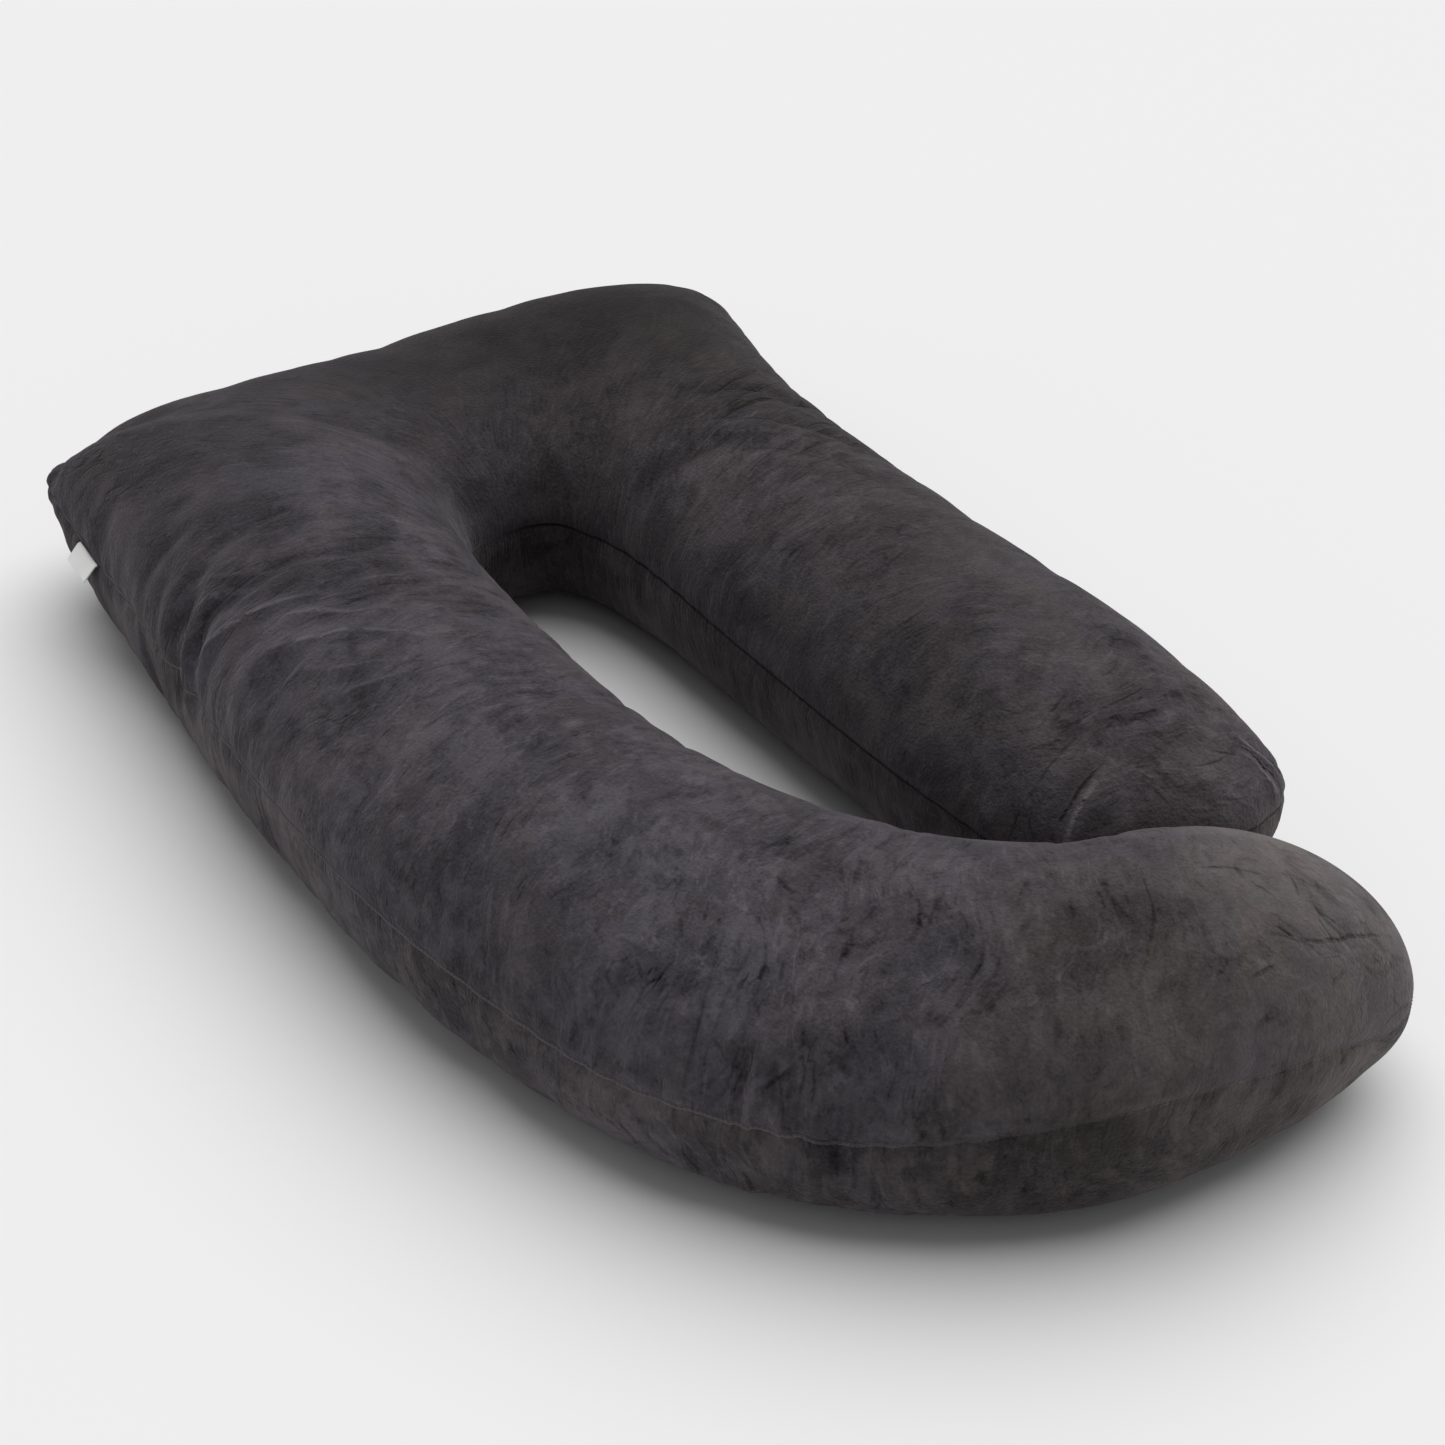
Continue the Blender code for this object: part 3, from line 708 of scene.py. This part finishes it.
# Painted shade where the pile leans away and painted sheen where it leans towards the view: each touch
# darkens or lightens the cloth's colour.
PAINTED_PILE_LEAN = (
    Touch("head end, away",         0.200,  0.570, 0.230, -0.42),
    Touch("head middle, away",     -0.100,  0.560, 0.160, -0.22),
    Touch("straight waist, away",   0.270,  0.270, 0.150, -0.18),
    Touch("straight outer, away",   0.330,  0.000, 0.160, -0.08),
    Touch("straight end, towards",  0.200, -0.410, 0.080,  0.06),
    Touch("straight mid, away",     0.190, -0.180, 0.130, -0.06),
    Touch("label corner, away",    -0.340,  0.590, 0.130, -0.12),
    Touch("label side, away",      -0.380,  0.380, 0.100, -0.05),
    Touch("label corner ear",      -0.412,  0.652, 0.022, -0.25),
    Touch("hooked crest, towards", -0.330,  0.040, 0.110,  0.06),
    Touch("hooked low, towards",   -0.380, -0.130, 0.110,  0.10),
    Touch("foot, towards",         -0.100, -0.600, 0.130,  0.04),
    Touch("hook middle, away",      0.000, -0.600, 0.080, -0.10),
    Touch("bend, towards",         -0.300, -0.440, 0.130,  0.19),
    Touch("hook tip, towards",      0.240, -0.580, 0.150,  0.46),
    Touch("hook side, towards",     0.150, -0.700, 0.090,  0.14),
    Touch("hook edge, towards",     0.010, -0.705, 0.055,  0.16),
    Touch("hook smudge, away",      0.205, -0.628, 0.030, -0.16),
)
print(sum(len(table) for table in (SLACK, CRUSHED, UNEVEN, STROKED, WARMTH, PAINTED_PILE_LEAN)), "touches")


# %% Store them as attributes
def touched(table, least=0.0):
    """The sum of a table's soft round touches at each point of the pillow."""
    total = np.full(len(places), least)
    for touch in table:
        away = np.linalg.norm(places[:, :2] - (np.array((touch.x, touch.y)) + CENTRE), axis=1)
        total += touch.amount * np.exp(-(away / touch.radius) ** 2)
    return total


SEAM_SLACK = 0.5             # how slack the cloth lies in the seam's gathers
SEAM_SLACK_REACH = 0.035
LEAST_CRUSHED = 0.15
LEAST_WARMTH = 0.08

gathered = SEAM_SLACK * np.exp(-(from_seam / SEAM_SLACK_REACH) ** 2) * at_seam[:, 0]
# The lean, lower panel, seam line and line tone attributes carry painted shade, painted sheen and painted
# highlights for the material.
for name, values in {
        "from seam": from_seam, "seam line": at_seam[:, 2], "lower panel": at_seam[:, 3],
        "line offset a": line_offset[0], "line tone a": crease_shade_and_highlight[0],
        "line offset b": line_offset[1], "line tone b": crease_shade_and_highlight[1],
        "slack": np.clip(touched(SLACK) + gathered, 0.0, 1.0),
        "crushed": np.clip(touched(CRUSHED, LEAST_CRUSHED), 0.0, 1.0),
        "uneven": touched(UNEVEN, 1.0), "stroked": touched(STROKED, 1.0),
        "warmth": touched(WARMTH, LEAST_WARMTH), "lean": touched(PAINTED_PILE_LEAN)}.items():
    attribute = pillow.data.attributes.new(name, "FLOAT", "POINT")
    attribute.data.foreach_set("value", values.astype(np.float32))
pillow.data.attributes.remove(pillow.data.attributes["panel"])
pillow.data.shade_smooth()
print("attributes:", [attribute.name for attribute in pillow.data.attributes if attribute.name[0] != "."])

# %% [markdown]
# ## The velour
#
# Velour is a short, dense pile. Stroked one way it looks dark and deep, stroked the other way pale and dusty,
# and every touch leaves a mark, so its colour is never even. Several patterns make that: broad patches where
# the pile leans, islands with soft edges, brush strokes that follow the cloth, broken lines where the pile is
# crushed, and a fine grain. On top of them the colour carries painted light: painted shade and painted sheen
# where the whole pile leans away or towards, painted shade on the lower panel and in the creases and gathers,
# painted sheen and shade along the seam, and painted highlights on ridges. Where the painted shade is deep
# the patterns all grow fainter, so that a dark stretch stays even. A faint blush, warm here and cool there,
# keeps the grey alive. The fibre tips' sheen comes from the shader, the same all over.

# %% Define helpers for patterns
def new_group(name, inputs, outputs):
    """An empty shader node group with named sockets."""
    group = bpy.data.node_groups.new(name, "ShaderNodeTree")
    for label, kind, value in inputs:
        made = group.interface.new_socket(name=label, in_out="INPUT", socket_type=kind)
        if value is not None:
            made.default_value = value
    for label, kind in outputs:
        group.interface.new_socket(name=label, in_out="OUTPUT", socket_type=kind)
    return group, group.nodes.new("NodeGroupInput").outputs, group.nodes.new("NodeGroupOutput")


def noise(tree, vector, scale, detail, roughness=0.5, distortion=0.0):
    made = add_node(tree, "ShaderNodeTexNoise", {
        "Vector": vector, "Scale": scale, "Detail": detail, "Roughness": roughness, "Distortion": distortion})
    return made.outputs["Fac"]


def remapped(tree, value, low, high, to_low=0.0, to_high=1.0):
    made = add_node(tree, "ShaderNodeMapRange", {
        "Value": value, "From Min": low, "From Max": high, "To Min": to_low, "To Max": to_high},
        interpolation_type="SMOOTHSTEP")
    return made.outputs["Result"]


def maths(tree, operation, a, b):
    return add_node(tree, "ShaderNodeMath", {0: a, 1: b}, operation=operation).outputs[0]


def total_of(tree, *terms):
    """The sum of several sockets, each times a number."""
    total = None
    for value, amount in terms:
        term = maths(tree, "MULTIPLY", value, amount)
        total = term if total is None else maths(tree, "ADD", total, term)
    return total


def streaks(tree, cloth, scale, width, mask, seed):
    """Thin broken lines, mostly across the arm: a stretched noise's half-way contours, where masked."""
    stretched = add_node(tree, "ShaderNodeMapping", {
        "Vector": cloth, "Scale": scale, "Location": (seed, seed, 0)})
    cell = maths(tree, "SUBTRACT", noise(tree, stretched.outputs[0], 1.0, 1, 0.5), 0.5)
    near = add_node(tree, "ShaderNodeMath", {0: cell}, operation="ABSOLUTE").outputs[0]
    return maths(tree, "MULTIPLY", remapped(tree, near, width, width * 0.1), mask)


# %% Build the pile as a node group
UPRIGHT = 0.44               # how pale the pile is, from 0 to 1, where it leans neither way
pile, given, result = new_group("brushed pile", (
    ("Place", "NodeSocketVector", None),
    ("Cloth", "NodeSocketVector", None),
    ("Lean", "NodeSocketFloat", 0.0),
    ("Crushed", "NodeSocketFloat", 0.5),
    ("Uneven", "NodeSocketFloat", 1.0),
    ("Stroked", "NodeSocketFloat", 1.0),
    ("Warmth", "NodeSocketFloat", 0.5),
    ("Dark", "NodeSocketColor", (0.0075, 0.0058, 0.0060, 1.0)),
    ("Warm", "NodeSocketColor", (0.117, 0.1013, 0.0985, 1.0)),
    ("Cool", "NodeSocketColor", (0.107, 0.0973, 0.1172, 1.0)),
), (("Colour", "NodeSocketColor"), ("Height", "NodeSocketFloat"), ("Roughness", "NodeSocketFloat")))
sway = add_node(pile, "ShaderNodeTexNoise", {"Vector": given["Place"], "Scale": 7.0, "Detail": 1.0})
swayed = add_node(pile, "ShaderNodeVectorMath", {
    0: add_node(pile, "ShaderNodeVectorMath", {0: sway.outputs["Color"], 1: (0.10, 0.10, 0.0)},
                operation="MULTIPLY").outputs[0],
    1: given["Cloth"]}, operation="ADD").outputs[0]
patches = remapped(pile, noise(pile, given["Place"], 7, 3, 0.6), 0.35, 0.65, -0.5, 0.5)
islands = remapped(pile, noise(pile, given["Place"], 18, 6, 0.74), 0.41, 0.61, -0.5, 0.5)
brushed_map = add_node(pile, "ShaderNodeMapping", {"Vector": swayed, "Scale": (110, 30, 1)}).outputs[0]
brush = noise(pile, brushed_map, 1.0, 3, 0.62)
dark_brush = maths(pile, "MULTIPLY", remapped(pile, brush, 0.55, 0.70), given["Stroked"])
pale_brush = maths(pile, "MULTIPLY", remapped(pile, brush, 0.46, 0.34), given["Stroked"])
wear = noise(pile, given["Place"], 24, 3, 0.6)
crushed = given["Crushed"]
veins, nicks, glints = [
    streaks(pile, swayed, scale, width, maths(pile, "MULTIPLY", remapped(pile, wear, *worn), crushed), seed)
    for scale, width, worn, seed in (((30, 9, 1), 0.050, (0.45, 0.55), 0.0),
                                     ((64, 26, 1), 0.070, (0.55, 0.62), 3.7),
                                     ((52, 16, 1), 0.060, (0.46, 0.38), 8.1))]
grains = maths(pile, "SUBTRACT", noise(pile, given["Place"], 330, 2, 0.6), 0.5)
patches = maths(pile, "MULTIPLY", patches, given["Uneven"])
islands = maths(pile, "MULTIPLY", islands, given["Stroked"])
marked = total_of(pile, (patches, 0.15), (islands, 0.24), (dark_brush, -0.17), (pale_brush, 0.16),
                  (veins, -0.20), (nicks, -0.22), (glints, 0.22), (grains, 0.46))
# The lean input carries the painted shade and sheen, and the marks fade where that painted shade is deep.
marked = maths(pile, "MULTIPLY", marked, remapped(pile, given["Lean"], -0.40, 0.0, 0.35, 1.0))
lean = maths(pile, "ADD", maths(pile, "ADD", marked, UPRIGHT), given["Lean"])
blush = remapped(pile, noise(pile, given["Place"], 14, 3, 0.6), 0.36, 0.64, -0.25, 0.25)
hue = maths(pile, "ADD", given["Warmth"], blush)
pale = add_node(pile, "ShaderNodeMix", {0: hue, 6: given["Cool"], 7: given["Warm"]}, data_type="RGBA")
colour = add_node(pile, "ShaderNodeMix", {0: lean, 6: given["Dark"], 7: pale.outputs[2]}, data_type="RGBA")
height = total_of(pile, (dark_brush, -0.0005), (pale_brush, 0.0003), (veins, -0.0010), (nicks, -0.0007),
                  (glints, 0.0007), (grains, 0.0012))
pile.links.new(colour.outputs[2], result.inputs["Colour"])
pile.links.new(height, result.inputs["Height"])
pile.links.new(remapped(pile, lean, 0.1, 0.9, 0.95, 0.78), result.inputs["Roughness"])
print("brushed pile:", len(pile.nodes), "nodes")

# %% Give the pillow its velour
VALLEY_WIDTH = 0.0024        # half-width of the painted shade in a crease
RIDGE_WIDTH = 0.0050         # and of the painted highlight on a ridge
LINE_CORE = 0.0005           # each is at full strength this close to its middle
LINE_DRIFT = 0.007           # how far the lines stray from the table's even curves
GATHER_DEPTH = 0.0018
LOWER_MORE = 0.3             # the lower panel's pile is this much more uneven, stroked and warm
PANEL_EDGE = 0.0006          # half-width of the step from one panel's tone to the other's, where the lower panel's painted shade begins
SEAM_FADE = 0.0022           # the painted sheen and shade along the seam fade out this far from it
SEAM_CORE = 0.0010           # and are at full strength this close

velour, tree, shader = empty_material("charcoal velour", {
    "Specular IOR Level": 0.12, "Sheen Weight": 0.16, "Sheen Roughness": 0.45,
    "Sheen Tint": (0.78, 0.72, 0.76, 1.0)})


def stored(name):
    return add_node(tree, "ShaderNodeAttribute", attribute_name=name).outputs["Fac"]


cloth_uv = add_node(tree, "ShaderNodeUVMap", uv_map="cloth").outputs["UV"]
place = add_node(tree, "ShaderNodeTexCoord").outputs["Object"]
across = add_node(tree, "ShaderNodeSeparateXYZ", {"Vector": cloth_uv}).outputs["Y"]
lower = remapped(tree, across, PANEL_EDGE, -PANEL_EDGE)
# Painted shade on the lower panel, below the seam, where its pile also runs another way.
lower_panel_shade = maths(tree, "MULTIPLY", lower, stored("lower panel"))
# A painted line along the seam: pale where the pile parts on the seam's ridge, with painted sheen, and
# painted shade in the groove where its tone is negative.
by_seam = remapped(tree, stored("from seam"), SEAM_FADE, SEAM_CORE)
seam_sheen_and_shade = maths(tree, "MULTIPLY", by_seam, stored("seam line"))
drift = maths(tree, "MULTIPLY", maths(tree, "SUBTRACT", noise(tree, place, 28, 2, 0.6), 0.5), LINE_DRIFT)
breaks = remapped(tree, noise(tree, place, 70, 2, 0.5), 0.36, 0.50, 0.25, 1.0)
# Each crease's line paints shade into its valley or a highlight onto its ridge.
lines = None
for set_name in ("a", "b"):
    strayed = maths(tree, "ADD", stored(f"line offset {set_name}"), drift)
    beside = add_node(tree, "ShaderNodeMath", {0: strayed}, operation="ABSOLUTE").outputs[0]
    tone = stored(f"line tone {set_name}")
    width = remapped(tree, tone, -0.05, 0.05, VALLEY_WIDTH, RIDGE_WIDTH)
    drawn = maths(tree, "MULTIPLY", remapped(tree, beside, width, LINE_CORE),
                  maths(tree, "MULTIPLY", tone, breaks))
    lines = drawn if lines is None else maths(tree, "ADD", lines, drawn)
# Besides their bump, the gathers' valleys get painted shade and their ridges a painted highlight in the
# colour.
gather_map = add_node(tree, "ShaderNodeMapping", {"Vector": cloth_uv, "Scale": (80, 11, 1)}).outputs[0]
gather_wave = noise(tree, gather_map, 1.0, 3, 0.55, 0.7)
gather_valley = maths(tree, "MULTIPLY", remapped(tree, gather_wave, 0.55, 0.68), stored("slack"))
gather_ridge = maths(tree, "MULTIPLY", remapped(tree, gather_wave, 0.46, 0.34), stored("slack"))
# The pile's paleness sums its painted light: the lean's painted shade and sheen, the lower panel's painted
# shade, the seam's painted sheen and shade, the creases' painted shade and highlights, and painted shade and
# highlights on the gathers.
lean = maths(tree, "ADD", maths(tree, "ADD", stored("lean"), lower_panel_shade), total_of(
    tree, (seam_sheen_and_shade, 0.60), (lines, 0.30), (gather_valley, -0.22), (gather_ridge, 0.18)))
inputs = {"Place": place, "Cloth": cloth_uv, "Lean": lean, "Crushed": stored("crushed")}
for name in ("Uneven", "Stroked", "Warmth"):
    inputs[name] = total_of(tree, (stored(name.lower()), 1.0), (lower, LOWER_MORE))
brushed = add_node(tree, "ShaderNodeGroup", node_tree=pile)
for name, value in inputs.items():
    tree.links.new(value, brushed.inputs[name])
height = maths(tree, "ADD", brushed.outputs["Height"], total_of(
    tree, (seam_sheen_and_shade, 0.0010), (lines, 0.0012), (gather_valley, -GATHER_DEPTH),
    (gather_ridge, GATHER_DEPTH * 0.7)))
relief = add_node(tree, "ShaderNodeBump", {"Height": height, "Distance": 1.0, "Strength": 1.0})
tree.links.new(brushed.outputs["Colour"], shader.inputs["Base Color"])
tree.links.new(brushed.outputs["Roughness"], shader.inputs["Roughness"])
tree.links.new(relief.outputs["Normal"], shader.inputs["Normal"])
pillow.data.materials.clear()
pillow.data.materials.append(velour)
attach(pillow, "root")
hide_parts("pillow")
print("velour on", pillow.name)

# %% [markdown]
# ## The seam's stitches
#
# At the bottom of the seam, between the two panels, the thread shows as a row of short stitches. They are
# all alike and follow a line, which is what Geometry Nodes are for: the tree turns the seam's edges into a
# curve, spaces points along it, sets one small stitch on each and makes it all real.

# %% Build the tree that spaces the stitches
STITCH_SEGMENTS = 6
STITCH_RINGS = 4


def stitch_tree():
    """Small stitches, evenly spaced along the edges of a mesh."""
    tree = bpy.data.node_groups.new("stitches along a seam", "GeometryNodeTree")
    for label, kind, value in (
            ("Geometry", "NodeSocketGeometry", None), ("Spacing", "NodeSocketFloat", 0.0045),
            ("Length", "NodeSocketFloat", 0.0032), ("Thread", "NodeSocketFloat", 0.0007),
            ("Finish", "NodeSocketMaterial", None)):
        made = tree.interface.new_socket(name=label, in_out="INPUT", socket_type=kind)
        if value is not None:
            made.default_value = value
    tree.interface.new_socket(name="Geometry", in_out="OUTPUT", socket_type="NodeSocketGeometry")
    given = tree.nodes.new("NodeGroupInput").outputs
    line = add_node(tree, "GeometryNodeMeshToCurve", {"Mesh": given["Geometry"]})
    spaced = add_node(tree, "GeometryNodeResampleCurve", {
        "Curve": line.outputs[0], "Length": given["Spacing"]}, mode="LENGTH")
    size = add_node(tree, "ShaderNodeCombineXYZ", {
        "X": given["Length"], "Y": given["Thread"], "Z": given["Thread"]})
    bead = add_node(tree, "GeometryNodeMeshUVSphere", {
        "Segments": STITCH_SEGMENTS, "Rings": STITCH_RINGS, "Radius": 0.5})
    stitch = add_node(tree, "GeometryNodeTransform", {
        "Geometry": bead.outputs["Mesh"], "Scale": size.outputs[0]})
    facing = add_node(tree, "FunctionNodeAlignRotationToVector", {
        "Vector": tree.nodes.new("GeometryNodeInputTangent").outputs[0]}, axis="X")
    row = add_node(tree, "GeometryNodeInstanceOnPoints", {
        "Points": spaced.outputs[0], "Instance": stitch.outputs[0], "Rotation": facing.outputs[0]})
    real = add_node(tree, "GeometryNodeRealizeInstances", {"Geometry": row.outputs[0]})
    finished = add_node(tree, "GeometryNodeSetMaterial", {
        "Geometry": real.outputs[0], "Material": given["Finish"]})
    add_node(tree, "NodeGroupOutput", {"Geometry": finished.outputs[0]})
    return tree


# %% Dye the thread and set the stitches
STITCH_LIFT = 0.0004         # the stitches lie this far above the cloth
thread, thread_graph, thread_shader = empty_material("grey thread", {"Roughness": 0.6})
twist = add_node(thread_graph, "ShaderNodeTexWave", {
    "Vector": add_node(thread_graph, "ShaderNodeTexCoord").outputs["Object"],
    "Scale": 900, "Distortion": 2.0}, bands_direction="DIAGONAL")
shade = add_node(thread_graph, "ShaderNodeMix", {
    0: twist.outputs["Fac"], 6: (0.025, 0.023, 0.024, 1.0), 7: (0.075, 0.070, 0.073, 1.0)}, data_type="RGBA")
thread_graph.links.new(shade.outputs[2], thread_shader.inputs["Base Color"])

seam_edges = bmesh.new()
seam_edges.from_mesh(pillow.data)
seam_edges.verts.ensure_lookup_table()
off_seam = [vertex for vertex in seam_edges.verts if not marks[vertex.index]]
bmesh.ops.delete(seam_edges, geom=off_seam, context="VERTS")
for vertex in seam_edges.verts:
    vertex.co += vertex.normal * STITCH_LIFT
line_mesh = bpy.data.meshes.new("seam line")
seam_edges.to_mesh(line_mesh)
seam_edges.free()
stitches = made_object("seam_stitches", line_mesh)
rows = stitches.modifiers.new("stitches", "NODES")
rows.node_group = stitch_tree()
finish_socket = rows.node_group.interface.items_tree["Finish"].identifier
rows[finish_socket] = thread
stitches.data = shown_mesh(stitches)
stitches.modifiers.remove(rows)
stitches.data.shade_smooth()
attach(stitches, "root")
print("stitches:", len(stitches.data.polygons) // (STITCH_SEGMENTS * STITCH_RINGS), "of them")

# %% [markdown]
# ## The label
#
# The label is a strip of satin ribbon folded in two, with both ends caught in the side seam. It is left
# blank. The strip is one ribbon bent like a hairpin: a row of points out along the top layer, round the fold
# and back underneath, repeated across the ribbon's width. Beside the seam it bends and hangs, with a slight
# curl so that it doesn't look like a card.

# %% Measure out the label's ribbon
LABEL_WIDTH = 0.050
LABEL_LENGTH = 0.022
LABEL_LAYER = 0.0004
LABEL_GAP = 0.0003
LABEL_DROOP = 0.87           # angle, in radians, at which it hangs below the level
LABEL_BEND = 0.005           # radius of the bend beside the seam that lets it hang
LABEL_CORNER = "label corner, side"
LABEL_PLACE = 0.1320         # distance of its middle from that corner, along the seam
LABEL_CLEAR = 0.0004         # it stops this far short of the drawn-in seam
LABEL_CURL = 0.0010          # how far its fold lifts and dips across the width
CURL_TURNS = 1.1             # and how often
LABEL_STEPS = 22             # faces across the width
LABEL_ROWS = 14              # and along each layer
ROUND_STEPS = 6              # and round the fold

corner = next(section for section in SECTIONS if section.place == LABEL_CORNER)
corner_place = np.array((corner.outer_x, corner.outer_y)) + CENTRE
first = int(np.linalg.norm(outer_seam - corner_place, axis=1).argmin())
spread = LABEL_PLACE + LABEL_WIDTH * np.linspace(-0.5, 0.5, LABEL_STEPS + 1)
root = spread_over(outer_seam[first:], run_of(outer_seam[first:]), spread)
heading = root[-1] - root[0]
outward = np.array((heading[1], -heading[0])) / np.linalg.norm(heading)

bend_radius = (LABEL_GAP + LABEL_LAYER) / 2
reach = LABEL_LENGTH - bend_radius
flats = np.linspace(0.0, reach, LABEL_ROWS + 1)[:-1]
round_fold = np.linspace(pi / 2, -pi / 2, ROUND_STEPS + 1)
ribbon_path = [(out, bend_radius) for out in flats]
ribbon_path += [(reach + bend_radius * cos(a), bend_radius * sin(a)) for a in round_fold]
ribbon_path += [(out, -bend_radius) for out in flats[::-1]]
path_run = run_of(np.array(ribbon_path))
print("ribbon cut to", LABEL_WIDTH, "by", round(float(path_run[-1]), 4), "m")

# %% Bend it beside the seam and make its mesh
ribbon = bmesh.new()
ribbon_map = ribbon.loops.layers.uv.new("ribbon")
grid = []
for index, spot in enumerate(root):
    width_share = index / LABEL_STEPS
    line = []
    for run, layer in ribbon_path:
        bent = min(run / LABEL_BEND, LABEL_DROOP)
        straight = run - LABEL_BEND * bent
        out = (LABEL_BEND + layer) * sin(bent) + straight * cos(bent)
        down = LABEL_BEND - (LABEL_BEND + layer) * cos(bent) + straight * sin(bent)
        curl = LABEL_CURL * sin(2 * pi * CURL_TURNS * width_share) * (run / LABEL_LENGTH) ** 2
        x, y = spot + outward * (out + curl - SEAM_TUCK + LABEL_CLEAR)
        line.append(ribbon.verts.new((x, y, corner.seam - down + curl)))
    grid.append(line)
for i in range(LABEL_STEPS):
    for j in range(len(ribbon_path) - 1):
        ring = [(i, j), (i, j + 1), (i + 1, j + 1), (i + 1, j)]
        face = ribbon.faces.new([grid[a][b] for a, b in ring])
        for loop, (a, b) in zip(face.loops, ring):
            loop[ribbon_map].uv = (spread[a], path_run[b])
bmesh.ops.recalc_face_normals(ribbon, faces=ribbon.faces)
ribbon_mesh = bpy.data.meshes.new("label")
ribbon.to_mesh(ribbon_mesh)
ribbon.free()
folded_label = made_object("folded_label", ribbon_mesh)
layer = folded_label.modifiers.new("ribbon thickness", "SOLIDIFY")
layer.thickness = LABEL_LAYER
layer.offset = 0.0
folded_label.data.shade_smooth()
print("the label has", len(ribbon_mesh.polygons), "faces")

# %% Weave the ribbon
BANDS_A_METRE = 3.18         # how often a wave texture repeats at scale 1
THREAD_HEIGHT = 0.00006
satin, tree, shader = empty_material("white satin ribbon", {"Roughness": 0.45, "Sheen Weight": 0.15})
ribbon_uv = add_node(tree, "ShaderNodeUVMap", uv_map="ribbon").outputs["UV"]
weft, warp = [
    add_node(tree, "ShaderNodeTexWave", {
        "Vector": ribbon_uv, "Scale": 1 / (pitch * BANDS_A_METRE), "Distortion": 0.4, "Detail": 1.0},
        bands_direction=direction).outputs["Fac"]
    for direction, pitch in (("X", 0.00035), ("Y", 0.00028))]
weave = total_of(tree, (weft, 0.6), (warp, 0.4))
yellowing = noise(tree, ribbon_uv, 60, 3, 0.5)
ribbon_colour = add_node(tree, "ShaderNodeMix", {
    0: maths(tree, "MULTIPLY", yellowing, weave), 6: (0.92, 0.92, 0.91, 1.0), 7: (0.97, 0.97, 0.965, 1.0)},
    data_type="RGBA")
ribbon_relief = add_node(tree, "ShaderNodeBump", {
    "Height": maths(tree, "MULTIPLY", weave, THREAD_HEIGHT), "Distance": 1.0})
tree.links.new(ribbon_colour.outputs[2], shader.inputs["Base Color"])
tree.links.new(ribbon_relief.outputs["Normal"], shader.inputs["Normal"])
folded_label.data.materials.append(satin)
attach(folded_label, "root")
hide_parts("label")
print("satin on", folded_label.name)
